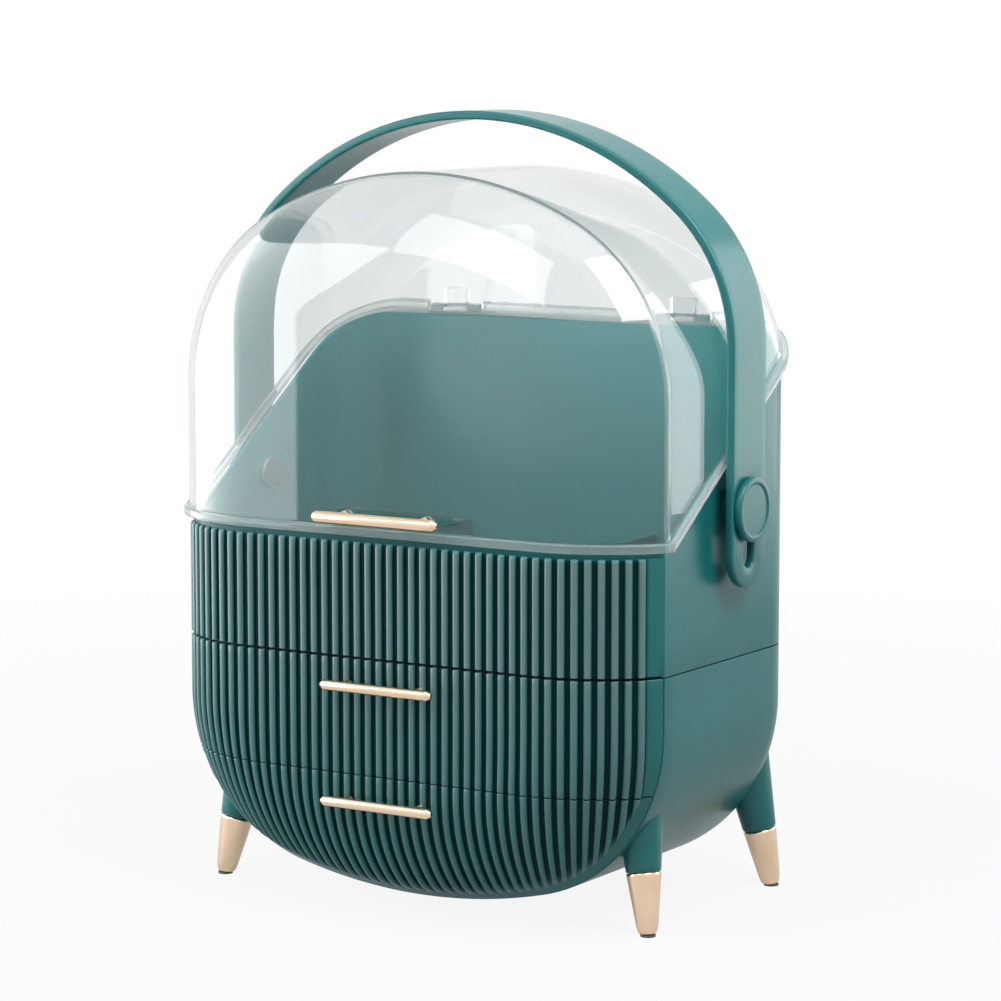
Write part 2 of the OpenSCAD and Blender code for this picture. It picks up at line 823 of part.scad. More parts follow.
module handle_bow() {
    band_y = pivot_y - handle_band / 2;
    arm_round_z = arm_end_z + handle_band / 2;
    slot_low_z = slot_end_z + slot_r;
    color(green) difference() {
        intersection() {
            stand(band_y, band_y + handle_band)
                difference() {
                    arch(arm_out_x, handle_top_z, handle_top_r, handle_corner_r, arm_end_z);
                    arch(arm_in_x, handle_top_z - handle_t, handle_top_r - handle_t,
                         handle_corner_r - handle_t, arm_end_z - past);
                }
            union() {
                bar_x(-big, big, pivot_y, arm_round_z, handle_band / 2);
                translate([-big, band_y, arm_round_z])
                    cube([2 * big, handle_band, big]);
            }
        }
        // The slots pass through both arms
        bar_x(-big, big, pivot_y, pivot_z, slot_r);
        bar_x(-big, big, pivot_y, slot_low_z, slot_r);
        translate([-big, pivot_y - slot_r, slot_low_z])
            cube([2 * big, 2 * slot_r, pivot_z - slot_low_z]);
    }
}

cabinet_shell();
drawer_shelf();
tray_shell();
tray_front();
tray_divider_long();
tray_divider_cross();
leg(-1, -1);  // leg_front_left
leg(1, -1);  // leg_front_right
leg(-1, 1);  // leg_back_left
leg(1, 1);  // leg_back_right
foot_tip(-1, -1);  // foot_tip_front_left
foot_tip(1, -1);  // foot_tip_front_right
foot_tip(-1, 1);  // foot_tip_back_left
foot_tip(1, 1);  // foot_tip_back_right
foot_pads();
leg_screws();
tray_screws();
hinge_brackets();
hinge_pins();
pivot_bushes();
drawer_box_upper();
drawer_front_upper();
pull(drawer_pull_len, drawer_pull_d, drawer_seam_z + upper_pull_rise, drawer_post_x, front_y - rib_h);  // drawer_pull_upper
pull_screws(drawer_post_x, drawer_seam_z + upper_pull_rise, front_wall, rib_h);  // pull_screws_upper
drawer_box_lower();
drawer_front_lower();
pull(drawer_pull_len, drawer_pull_d, drawer_seam_z - lower_pull_drop, drawer_post_x, front_y - rib_h);  // drawer_pull_lower
pull_screws(drawer_post_x, drawer_seam_z - lower_pull_drop, front_wall, rib_h);  // pull_screws_lower
hood_shell();
pull(hood_pull_len, hood_pull_d, tray_front_z + hood_pull_rise, hood_post_x, front_y);  // hood_pull
pull_screws(hood_post_x, tray_front_z + hood_pull_rise, hood_wall, 0);  // hood_pull_screws
hood_hinge_lugs();
pivot_stud(-1);  // pivot_stud_left
pivot_stud(1);  // pivot_stud_right
pivot_knob(-1);  // pivot_knob_left
pivot_knob(1);  // pivot_knob_right
handle_bow();
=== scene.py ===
"""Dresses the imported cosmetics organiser: its moulded shells, clear hood, handle, pulls and feet.

Lengths in this file are millimetres unless a name says otherwise; a piece is turned into metres
when its mesh is made. +Z is up and the drawers face -Y.
"""
import logging
import math
from collections.abc import Callable, Iterable, Sequence
from dataclasses import dataclass, field
from enum import Enum
from itertools import zip_longest

import bmesh
import bpy
from mathutils import Matrix, Vector


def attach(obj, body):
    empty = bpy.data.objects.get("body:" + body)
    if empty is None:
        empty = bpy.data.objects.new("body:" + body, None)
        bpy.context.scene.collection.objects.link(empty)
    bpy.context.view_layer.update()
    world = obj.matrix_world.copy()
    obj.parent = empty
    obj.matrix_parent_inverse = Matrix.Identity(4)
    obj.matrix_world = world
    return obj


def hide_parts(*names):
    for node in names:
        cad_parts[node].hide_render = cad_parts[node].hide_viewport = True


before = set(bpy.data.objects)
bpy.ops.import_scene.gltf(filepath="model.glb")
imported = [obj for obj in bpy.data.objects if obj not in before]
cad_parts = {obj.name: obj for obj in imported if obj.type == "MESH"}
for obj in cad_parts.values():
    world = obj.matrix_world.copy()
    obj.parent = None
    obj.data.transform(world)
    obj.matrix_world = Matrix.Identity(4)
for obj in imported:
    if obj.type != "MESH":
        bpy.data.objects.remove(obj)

MM = 0.001
# Name of the point attribute that places painted shade, painted highlight and painted grey sheen.
MARK = "mark"
Pair = tuple[float, float]
Triple = tuple[float, float, float]
Row = tuple[float, float, float, float]
Point = tuple[float, float, float]
Colour = tuple[float, float, float, float]
WHITE: Colour = (1.0, 1.0, 1.0, 1.0)
log = logging.getLogger("organiser")


# ---------------------------------------------------------------------------------------------
# Forms


def rounded(first: Pair, corner: Pair, final: Pair, share: float) -> Pair:
    """A point on the curve that rounds a corner off.

    Args:
        first: where the curve starts.
        corner: the corner.
        final: where the curve ends.
        share: 0 at the start, 1 at the end.

    Returns:
        The point.
    """
    a, b, c = (1 - share) ** 2, 2 * share * (1 - share), share**2
    return a * first[0] + b * corner[0] + c * final[0], a * first[1] + b * corner[1] + c * final[1]


def closed_ring(right: list[Point]) -> list[Point]:
    """A whole ring out of its right half, which starts and ends in the middle."""
    return right + [(-x, y, z) for x, y, z in reversed(right[1:-1])]


@dataclass(frozen=True)
class OutlinePoint:
    """A point on a front view outline, with the outward direction there."""

    x: float
    z: float
    out_x: float
    out_z: float


@dataclass(frozen=True)
class ArcOutline:
    """Front view of a form: straight sides, two round corners and a wide arc between them.

    Attributes:
        half: half the width across the straight sides.
        side_r: radius of the round corners.
        wide_r: radius of the wide arc.
        side_z: height of the corners' centres.
        up: 1 where the arcs close the form at its top, -1 where they close it at its bottom.
    """

    half: float
    side_r: float
    wide_r: float
    side_z: float
    up: int

    @property
    def side_x(self) -> float:
        """How far the corners' centres lie from the middle."""
        return self.half - self.side_r

    @property
    def turn(self) -> float:
        """Angle from the upright at which the wide arc runs into a corner."""
        return math.asin(self.side_x / (self.wide_r - self.side_r))

    @property
    def wide_z(self) -> float:
        """Height of the wide arc's centre."""
        return self.side_z - self.up * (self.wide_r - self.side_r) * math.cos(self.turn)

    def lengths(self, inset: float) -> Pair:
        """Lengths of half the wide arc and of one corner, drawn inset from the outline."""
        return (self.wide_r - inset) * self.turn, (self.side_r - inset) * (math.pi / 2 - self.turn)

    def along(self, inset: float, length: float) -> OutlinePoint:
        """Point on the right half, a length away from the middle of the wide arc.

        Args:
            inset: how far inside the outline the point lies.
            length: distance from the middle, measured along the inset line.

        Returns:
            The point, with the direction away from the form.
        """
        wide, corner = self.lengths(inset)
        if length >= wide + corner:
            return OutlinePoint(
                self.half - inset, self.side_z - self.up * (length - wide - corner), 1.0, 0.0
            )
        if length > wide:
            radius, x, z = self.side_r - inset, self.side_x, self.side_z
            angle = self.turn + (length - wide) / radius
        else:
            radius, x, z = self.wide_r - inset, 0.0, self.wide_z
            angle = length / radius
        sine, cosine = math.sin(angle), self.up * math.cos(angle)
        return OutlinePoint(x + radius * sine, z + radius * cosine, sine, cosine)

    def length_to(self, inset: float, z: float) -> float:
        """Length along the inset line from the middle of the wide arc to a height.

        Args:
            inset: how far inside the outline the line lies.
            z: the height.

        Returns:
            The length.
        """
        wide, corner = self.lengths(inset)
        beyond = self.up * (z - self.side_z)
        if beyond <= 0:
            return wide + corner - beyond
        angle = math.acos(min(1.0, beyond / (self.side_r - inset)))
        if angle >= self.turn:
            return wide + (angle - self.turn) * (self.side_r - inset)
        return (self.wide_r - inset) * math.acos(
            min(1.0, self.up * (z - self.wide_z) / (self.wide_r - inset))
        )

    def half_width(self, z: float, inset: float = 0.0) -> float:
        """Half the form's width at a height."""
        return self.along(inset, self.length_to(inset, z)).x

    def arch(self, inset: float, z: float, y: float, side: int, bend: int) -> list[Point]:
        """The line from a height on the right, along the arcs, to that height on the left.

        Args:
            inset: how far inside the outline it runs.
            z: the height.
            y: the plane that it lies in.
            side: steps on a straight side.
            bend: steps on half of the arcs.

        Returns:
            Its points.
        """
        start = self.length_to(inset, z)
        straight = min(sum(self.lengths(inset)), start)
        lengths = [start + (straight - start) * i / side for i in range(side)]
        lengths += [straight * (1 - i / bend) for i in range(bend)]
        right = [(spot.x, y, spot.z) for spot in (self.along(inset, s) for s in lengths)]
        middle = (0.0, y, self.along(inset, 0.0).z)
        return [*right, middle, *((-a, b, c) for a, b, c in reversed(right))]

    def depth(self, x: float, z: float) -> Triple:
        """How far inside the outline a point lies.

        Args:
            x: distance from the middle, to the right.
            z: height.

        Returns:
            The depth, and the direction to the nearest part of the outline.
        """
        side = -1.0 if x < 0 else 1.0
        beyond = self.up * (z - self.side_z)
        if beyond <= 0:
            return self.half - abs(x), side, 0.0
        from_wide = self.up * (z - self.wide_z)
        if math.atan2(abs(x), from_wide) <= self.turn:
            across, up, radius = abs(x), from_wide, self.wide_r
        else:
            across, up, radius = abs(x) - self.side_x, beyond, self.side_r
        reach = math.hypot(across, up) or 1e-9
        return radius - reach, side * across / reach, self.up * up / reach


class Zone(Enum):
    """Stretches of the skin, from the middle of the front round to the middle of the back."""

    FRONT = "front"
    ROLL = "roll"
    EDGE = "edge"
    SIDE = "side"
    BACK = "back"
    REAR = "rear"


@dataclass(frozen=True)
class Stop:
    """A place on the skin.

    Attributes:
        zone: the stretch that it is on.
        at: depth inside the outline on FRONT and REAR, angle on ROLL and BACK, share elsewhere.
        rib: share of a rib's height here.
        ribbed: whether this place is among the ribs.
    """

    zone: Zone
    at: float
    rib: float = 0.0
    ribbed: bool = False

    @property
    def ahead(self) -> bool:
        """Whether it is on the front."""
        return self.zone in (Zone.FRONT, Zone.ROLL)


@dataclass(frozen=True)
class Section:
    """Course of the skin from front to back, seen across the outline.

    Attributes:
        front_y: the flat middle of the front.
        bulge: how far that stands out past the hard edge.
        side_d: depth of the flat sides.
        roll_r: radius of the roll between front and hard edge.
        back_r: radius of the rolled back edge.
        soften: how far the hard edge is rounded to either side.
    """

    front_y: float = -84.95
    bulge: float = 32.0
    side_d: float = 142.0
    roll_r: float = 67.84
    back_r: float = 31.0
    soften: float = 0.3

    @property
    def run(self) -> float:
        """How far the roll reaches in from the outline."""
        return math.sqrt(self.roll_r**2 - (self.roll_r - self.bulge) ** 2)

    @property
    def edge_y(self) -> float:
        """The hard edge."""
        return self.front_y + self.bulge

    @property
    def back_y(self) -> float:
        """The flat back."""
        return self.edge_y + self.side_d

    def last_angle(self, grow: float) -> float:
        """Angle of the roll where it meets the side."""
        return math.asin((self.run + grow) / (self.roll_r + grow))

    def face(self, depth: float) -> Triple:
        """The front's place and lie at a depth inside the outline.

        Args:
            depth: distance inside the outline.

        Returns:
            y, and the sideways and forward parts of the direction away from the surface.
        """
        inward = max(0.0, self.run - depth)
        sine = min(1.0, inward / self.roll_r)
        cosine = math.sqrt(1.0 - sine * sine)
        return self.front_y + self.roll_r * (1.0 - cosine), sine, cosine

    def back_face(self, depth: float) -> float:
        """The back's y at a depth inside the outline."""
        inward = max(0.0, self.back_r - depth)
        return self.back_y - self.back_r + math.sqrt(max(0.0, self.back_r**2 - inward**2))

    def spot(self, stop: Stop, grow: float) -> Pair:
        """Depth and y of a stop on the skin.

        Args:
            stop: the place.
            grow: how far the skin is moved outward.

        Returns:
            The depth inside the outline and y.
        """
        radius = self.roll_r + grow
        last = self.last_angle(grow)
        corner_y = self.front_y + self.roll_r - radius * math.cos(last)
        if stop.zone is Zone.FRONT:
            return stop.at, self.front_y - grow
        if stop.zone in (Zone.ROLL, Zone.EDGE):
            angle = last - self.soften / radius
            if stop.zone is Zone.ROLL:
                angle = min(stop.at, angle)
            rolled = (
                self.run - radius * math.sin(angle),
                self.front_y + self.roll_r - radius * math.cos(angle),
            )
            if stop.zone is Zone.ROLL:
                return rolled
            return rounded(rolled, (-grow, corner_y), (-grow, corner_y + self.soften), stop.at)
        if stop.zone is Zone.SIDE:
            start = corner_y + self.soften
            return -grow, start + stop.at * (self.back_y - self.back_r - start)
        if stop.zone is Zone.BACK:
            return (
                self.back_r - (self.back_r + grow) * math.cos(stop.at),
                self.back_y - self.back_r + (self.back_r + grow) * math.sin(stop.at),
            )
        return stop.at, self.back_y + grow

    def course(self, roll: int, edge: int, side: int, back: int) -> list[Stop]:
        """Stops from the end of the flat front to the start of the flat back.

        Args:
            roll: how many lie on the roll.
            edge: how many lie on the hard edge.
            side: how many lie on the side.
            back: steps on the rolled back edge.

        Returns:
            The stops.
        """
        last = self.last_angle(0.0)
        return [
            *(Stop(Zone.ROLL, last * i / roll) for i in range(roll)),
            *(Stop(Zone.EDGE, i / edge) for i in range(edge)),
            *(Stop(Zone.SIDE, i / side) for i in range(side)),
            *(Stop(Zone.BACK, math.pi / 2 * i / back) for i in range(back + 1)),
        ]


@dataclass(frozen=True)
class Ribs:
    """Upright rounded ribs, spread along the curved front.

    Attributes:
        count: how many there are across the whole front.
        pitch: distance between two of them, along the surface.
        width: width of one.
        height: how far it stands out.
        fullness: 2 for a round crest, more for a flatter one.
        ground, flank, crest: shares of the height that are marked 1 (full painted shade), 0 and -1
            (full painted highlight).
        highlight_fade_low, highlight_fade_high: heights between which the crests' painted highlight
            fades, as less light falls lower down.
        tone: what is left of it at the lower one.
    """

    count: int = 44
    pitch: float = 6.57
    width: float = 4.0
    height: float = 2.0
    fullness: float = 2.4
    ground: float = 0.06
    flank: float = 0.44
    crest: float = 0.9
    highlight_fade_low: float = 30.0
    highlight_fade_high: float = 140.0
    tone: float = 0.25

    def columns(self) -> list[Pair]:
        """The right half of the ribs, cut into upright lines.

        Returns:
            Distance from the middle, along the surface, and the share of a rib's height there.
        """
        shares = (-1.0, -0.94, -0.78, -0.52, -0.26, 0.0, 0.26, 0.52, 0.78, 0.94, 1.0)
        found = [(0.0, 0.0)]
        for k in range(self.count // 2):
            middle = (k + 0.5) * self.pitch
            found += [
                (
                    middle + share * self.width / 2,
                    (1.0 - abs(share) ** self.fullness) ** (1.0 / self.fullness),
                )
                for share in shares
            ]
            found.append((middle + self.pitch / 2, 0.0))
        return found[:-1]

    def painted_light_mark(self, rib: float, z: float) -> float:
        """Mark of painted light, by how deep among the ribs a place lies: painted shade in the
        grooves, a painted highlight on the crests.

        Args:
            rib: share of a rib's height there.
            z: height of the place. The crests' painted highlight fades toward the round bottom.

        Returns:
            -1 on a crest with the full painted highlight, 0 on the flanks, 1 on the ground with the
            full painted shade.
        """
        # Crests get a painted highlight that fades lower down; the grooves get painted shade.
        if rib > self.flank:
            above = (z - self.highlight_fade_low) / (self.highlight_fade_high - self.highlight_fade_low)
            highlight_share = self.tone + (1.0 - self.tone) * min(1.0, max(0.0, above))
            return max(-1.0, (self.flank - rib) / (self.crest - self.flank)) * highlight_share
        return min(1.0, (self.flank - rib) / (self.flank - self.ground))


@dataclass(frozen=True)
class Parting:
    """The joint of tray and hood: level in front, sloped behind the hard edge.

    Attributes:
        level_z: its height in front.
        kink_y: where the slope starts.
        slope: rise over run behind that.
    """

    level_z: float = 193.7
    kink_y: float = -52.9
    slope: float = math.tan(math.radians(35.0))

    def z(self, y: float) -> float:
        """Height of the joint."""
        return self.level_z + max(0.0, y - self.kink_y) * self.slope


CASE = ArcOutline(142.5, 91.3, 299.3, 103.7, -1)
HOOD = ArcOutline(145.0, 99.4, 196.3, 264.2, 1)
BOW = ArcOutline(153.5, 92.06, 185.5, 289.4, 1)
SECTION = Section()
HOOD_SECTION = Section(soften=1.6)
RIBS = Ribs()
PARTING = Parting()


# ---------------------------------------------------------------------------------------------
# Meshes


class Surface:
    """Collects the points and faces of one piece."""

    def __init__(self) -> None:
        """Starts with nothing."""
        self.points: list[Point] = []
        self.marks: list[float] = []
        self.faces: list[tuple[int, ...]] = []

    def row(self, points: Iterable[Point], marks: Iterable[float] = ()) -> list[int]:
        """Adds points and returns their numbers.

        Args:
            points: the points.
            marks: how strongly each is marked for the finish, or nothing for no mark.

        Returns:
            Their numbers.
        """
        start = len(self.points)
        self.points.extend(points)
        given = list(marks)
        self.marks.extend(given or [0.0] * (len(self.points) - start))
        return list(range(start, len(self.points)))

    def strip(self, low: Sequence[int], high: Sequence[int], closed: bool = False) -> None:
        """Spans two rows of points with faces.

        Args:
            low: the numbers of one row's points.
            high: those of the other row.
            closed: whether the rows' ends meet.
        """
        count = len(low)
        for i in range(count if closed else count - 1):
            j = (i + 1) % count
            self.faces.append((low[i], low[j], high[j], high[i]))

    def skin(
        self, rows: Iterable[Iterable[Point]], closed: bool = False,
        marks: Iterable[Iterable[float]] = (),
    ) -> list[list[int]]:
        """Adds rows of points and spans each with the next.

        Args:
            rows: the rows, of equal length.
            closed: whether each row's ends meet.
            marks: the marks of each row's points, or nothing for no marks.

        Returns:
            The numbers of each row's points.
        """
        numbers = [self.row(*pair) for pair in zip_longest(rows, marks, fillvalue=())]
        for low, high in zip(numbers, numbers[1:]):
            self.strip(low, high, closed)
        return numbers

    def cap(self, ring: Iterable[int]) -> None:
        """Closes a ring of points with one flat face."""
        self.faces.append(tuple(ring))

    def mesh(self, name: str, sharp: float, merge: float = 0.004) -> bpy.types.Mesh:
        """Makes the mesh, in metres.

        Args:
            name: the mesh's name.
            sharp: angle in degrees past which an edge isn't smoothed.
            merge: points closer than this become one.

        Returns:
            The mesh, with its faces turned outward.
        """
        mesh = bpy.data.meshes.new(name)
        mesh.from_pydata([tuple(c * MM for c in p) for p in self.points], [], self.faces)
        mesh.attributes.new(MARK, "FLOAT", "POINT").data.foreach_set("value", self.marks)
        work = bmesh.new()
        work.from_mesh(mesh)
        bmesh.ops.remove_doubles(work, verts=work.verts, dist=merge * MM)
        bmesh.ops.dissolve_degenerate(work, edges=work.edges, dist=merge * MM / 4)
        bmesh.ops.recalc_face_normals(work, faces=work.faces)
        work.to_mesh(mesh)
        work.free()
        mesh.shade_smooth()
        mesh.set_sharp_from_angle(angle=math.radians(sharp))
        return mesh


# ---------------------------------------------------------------------------------------------
# Finishes


class Wire:
    """A node's output that can be reckoned with."""

    def __init__(self, paint: "Paint", socket: bpy.types.NodeSocket) -> None:
        """Wraps a socket of a material's or the world's nodes."""
        self.paint = paint
        self.socket = socket

    def reckon(self, operation: str, *values: "Wire | float") -> "Wire":
        """Runs a Math node over this and other values."""
        sockets = dict(enumerate((self, *values)))
        return self.paint.wire("ShaderNodeMath", {"operation": operation}, sockets)

    def __add__(self, other: "Wire | float") -> "Wire":
        """Sum."""
        return self.reckon("ADD", other)

    __radd__ = __add__

    def __mul__(self, other: "Wire | float") -> "Wire":
        """Product."""
        return self.reckon("MULTIPLY", other)

    __rmul__ = __mul__

    def __sub__(self, other: "Wire | float") -> "Wire":
        """Difference."""
        return self.reckon("SUBTRACT", other)

    def __rsub__(self, other: float) -> "Wire":
        """Difference with this value taken away."""
        return (self * -1.0) + other

    def most(self, other: "Wire | float") -> "Wire":
        """The larger of the two."""
        return self.reckon("MAXIMUM", other)

    def span(self, low: float, high: float, to_low: float = 0.0, to_high: float = 1.0) -> "Wire":
        """Moves one range onto another and clamps it there.

        Args:
            low: where the first range starts.
            high: where it ends.
            to_low: what its start becomes.
            to_high: what its end becomes.

        Returns:
            The moved value.
        """
        sockets = {
            "Value": self, "From Min": low, "From Max": high, "To Min": to_low, "To Max": to_high,
        }
        return self.paint.wire("ShaderNodeMapRange", {"clamp": True}, sockets)


class Paint:
    """The nodes of one material or world."""

    def __init__(self, tree: bpy.types.NodeTree) -> None:
        """Empties the tree."""
        self.tree = tree
        tree.nodes.clear()

    def plug(self, socket: bpy.types.NodeSocket, value: object) -> None:
        """Links a socket, or sets a plain value on it.

        Args:
            socket: the input.
            value: a wire to link, or the value.
        """
        if isinstance(value, Wire):
            self.tree.links.new(value.socket, socket)
        else:
            socket.default_value = value

    def node(
        self, kind: str, settings: dict[str, object], sockets: dict[str | int, object]
    ) -> bpy.types.Node:
        """Adds a node.

        Args:
            kind: its type.
            settings: its properties, set first.
            sockets: its inputs by name or number.

        Returns:
            The node.
        """
        node = self.tree.nodes.new(kind)
        for name, value in settings.items():
            setattr(node, name, value)
        for name, value in sockets.items():
            self.plug(node.inputs[name], value)
        return node

    def wire(
        self, kind: str, settings: dict[str, object], sockets: dict[str | int, object],
        output: str | int = 0,
    ) -> Wire:
        """Adds a node for the sake of one output.

        Args:
            kind: its type.
            settings: its properties, set first.
            sockets: its inputs by name or number.
            output: the output's name or number.

        Returns:
            The output.
        """
        return Wire(self, self.node(kind, settings, sockets).outputs[output])

    def place(self) -> Wire:
        """The surface's own coordinates, in metres."""
        return self.wire("ShaderNodeTexCoord", {}, {}, "Object")

    def mark(self) -> Wire:
        """The mark that a piece's points carry, 0 on pieces without one; it places painted shade,
        painted highlight and painted grey sheen.
        """
        settings = {"attribute_type": "GEOMETRY", "attribute_name": MARK}
        return self.wire("ShaderNodeAttribute", settings, {}, "Fac")

    def ray(self, kind: str) -> Wire:
        """Whether a ray is of a kind."""
        return self.wire("ShaderNodeLightPath", {}, {}, kind)

    def noise(
        self, scale: float, detail: float = 3.0, roughness: float = 0.55,
        stretch: Triple = (1.0, 1.0, 1.0),
    ) -> Wire:
        """Soft noise over the surface.

        Args:
            scale: grains per metre.
            detail: finer layers on top.
            roughness: their strength.
            stretch: how much denser it lies along each axis.

        Returns:
            Its value, about 0.5 in the middle.
        """
        moved = self.wire("ShaderNodeMapping", {}, {"Vector": self.place(), "Scale": stretch})
        sockets = {"Vector": moved, "Scale": scale, "Detail": detail, "Roughness": roughness}
        return self.wire("ShaderNodeTexNoise", {}, sockets, "Fac")

    def mix(self, share: Wire | float, first: object, second: object) -> Wire:
        """Mixes two colours."""
        sockets = {0: share, 6: first, 7: second}
        return self.wire("ShaderNodeMix", {"data_type": "RGBA"}, sockets, 2)

    def bump(self, height: Wire, strength: float, distance: float) -> Wire:
        """Turns a height into a normal.

        Args:
            height: the height, from 0 to 1.
            strength: share of the effect.
            distance: what a height of 1 stands for, in metres.

        Returns:
            The normal.
        """
        sockets = {"Strength": strength, "Distance": distance, "Height": height}
        return self.wire("ShaderNodeBump", {}, sockets, "Normal")

    def coating(self, sockets: dict[str | int, object]) -> Wire:
        """A Principled shader."""
        return self.wire("ShaderNodeBsdfPrincipled", {}, sockets)

    def blend(self, share: Wire, first: Wire, second: Wire) -> Wire:
        """Mixes two shaders."""
        return self.wire("ShaderNodeMixShader", {}, {0: share, 1: first, 2: second})

    def finish(self, shader: Wire, kind: str = "ShaderNodeOutputMaterial") -> None:
        """Sends a shader to the output."""
        self.node(kind, {}, {"Surface": shader})


class Finish:
    """A surface finish, made into a material when it is first used.

    Attributes:
        name: the material's name.
    """

    name: str

    def paint(self, paint: Paint) -> None:
        """Draws the nodes of the material."""
        raise NotImplementedError

    def material(self) -> bpy.types.Material:
        """Makes the material at the first call.

        Returns:
            The material, the same one at every call.
        """
        found = bpy.data.materials.get(self.name)
        if found is None:
            found = bpy.data.materials.new(self.name)
            found.use_nodes = True
            self.paint(Paint(found.node_tree))
        return found


@dataclass(frozen=True)
class MouldedPlastic(Finish):
    """Moulded plastic with a fine skin grain, dull and darkened with painted shade in the grooves
    between ribs, lightened with a painted highlight on their crests.

    Attributes:
        name: the material's name.
        colour: its colour.
        shade: the colour it drifts toward in broad soft patches.
        groove_painted_shade: painted shade, its darkened colour in the grooves.
        crest_painted_highlight: painted highlight, its greyer, lighter colour on the crests.
        rough: its roughness.
        gloss: specular level under the gloss coat.
        coat: share of clear gloss on top, outside the grooves.
        grain: strength of the grain.
        coat_rough: the clear gloss's roughness.
    """

    name: str
    colour: Colour
    shade: Colour
    groove_painted_shade: Colour
    crest_painted_highlight: Colour
    rough: float = 0.32
    gloss: float = 0.1
    coat: float = 0.0
    grain: float = 0.07
    coat_rough: float = 0.24

    def paint(self, paint: Paint) -> None:
        """Draws the nodes.

        Args:
            paint: the material's nodes.
        """
        patches = paint.noise(14.0, 2.0).span(0.35, 0.65)
        fine = paint.noise(900.0, 2.0, 0.5)
        worn = paint.noise(60.0, 4.0, 0.6).span(0.3, 0.7)
        # Positive marks paint shade into the grooves and leave the coat off there; negative marks
        # paint a highlight on the crests.
        low = paint.mark().most(0.0)
        colour = paint.mix(patches, self.colour, self.shade)
        crest = (paint.mark() * -1.0).most(0.0)
        shader = paint.coating(
            {
                "Base Color": paint.mix(low, paint.mix(crest, colour, self.crest_painted_highlight), self.groove_painted_shade),
                "Roughness": worn * 0.06 + (self.rough - 0.03),
                "Specular IOR Level": self.gloss,
                "Coat Weight": (1 - low) * self.coat,
                "Coat Roughness": self.coat_rough,
                "Normal": paint.bump(fine, self.grain, 0.00006),
            }
        )
        paint.finish(shader)


@dataclass(frozen=True)
class ClearPlastic(Finish):
    """Clear polished plastic that lamps shine through, with a faint grey haze that is partly
    painted reflection.

    Attributes:
        name: the material's name.
        tint: its faint colour.
        haze_and_sheen: share of grey haze in it, partly the plastic's own and partly painted
            reflection, to which a piece's marks add painted grey sheen.
        rough: its roughness where it is clean.
        haze_sheen_colour: the haze's colour, a grey-green that paints reflection into the plastic.
        haze_sheen_smeared: its colour under smears.
    """

    name: str
    tint: Colour
    haze_and_sheen: float = 0.055
    rough: float = 0.01
    haze_sheen_colour: Colour = (0.21, 0.26, 0.26, 1.0)
    haze_sheen_smeared: Colour = (0.25, 0.30, 0.30, 1.0)

    def paint(self, paint: Paint) -> None:
        """Draws the nodes.

        Args:
            paint: the material's nodes.
        """
        smears = paint.noise(22.0, 5.0, 0.65).span(0.45, 0.8)
        clear = paint.coating(
            {
                "Base Color": self.tint,
                "Roughness": smears * 0.03 + self.rough,
                "IOR": 1.37,
                "Transmission Weight": 1.0,
                "Normal": paint.bump(paint.noise(9.0, 1.0), 0.12, 0.0002),
            }
        )
        # The grey haze paints reflection onto the clear plastic; the marks add more of it along the
        # front edge and the lip.
        haze_sheen_colour = paint.mix(smears, self.haze_sheen_colour, self.haze_sheen_smeared)
        grey_sheen = paint.coating({"Base Color": haze_sheen_colour, "Roughness": 0.3})
        with_grey_sheen = paint.blend(paint.mark() + self.haze_and_sheen, clear, grey_sheen)
        lit = paint.wire("ShaderNodeBsdfTransparent", {}, {"Color": self.tint})
        paint.finish(paint.blend(paint.ray("Is Shadow Ray"), with_grey_sheen, lit))


@dataclass(frozen=True)
class PlatedMetal(Finish):
    """Polished or brushed metal.

    Attributes:
        name: the material's name.
        colour: its colour.
        shade: its colour in faint patches.
        rough: its roughness.
        drawn: how strongly the polishing marks show.
    """

    name: str
    colour: Colour
    shade: Colour
    rough: float = 0.14
    drawn: float = 0.1

    def paint(self, paint: Paint) -> None:
        """Draws the nodes.

        Args:
            paint: the material's nodes.
        """
        patches = paint.noise(45.0, 3.0).span(0.4, 0.7)
        marks = paint.noise(420.0, 3.0, 0.6, (0.12, 1.0, 1.0))
        shader = paint.coating(
            {
                "Base Color": paint.mix(patches, self.colour, self.shade),
                "Metallic": 1.0,
                "Roughness": marks.span(0.3, 0.7) * 0.08 + self.rough,
                "Normal": paint.bump(marks, self.drawn, 0.00002),
            }
        )
        paint.finish(shader)


@dataclass(frozen=True)
class Rubber(Finish):
    """Dull rubber with a coarse grain.

    Attributes:
        name: the material's name.
        colour: its colour.
    """

    name: str
    colour: Colour

    def paint(self, paint: Paint) -> None:
        """Draws the nodes.

        Args:
            paint: the material's nodes.
        """
        grain = paint.noise(1400.0, 4.0, 0.7)
        worn = paint.noise(110.0, 2.0).span(0.4, 0.7)
        lighter = tuple(min(1.0, c * 1.6) for c in self.colour[:3]) + (1.0,)
        shader = paint.coating(
            {
                "Base Color": paint.mix(worn, self.colour, lighter),
                "Roughness": worn * 0.15 + 0.7,
                "Normal": paint.bump(grain, 0.4, 0.0001),
            }
        )
        paint.finish(shader)


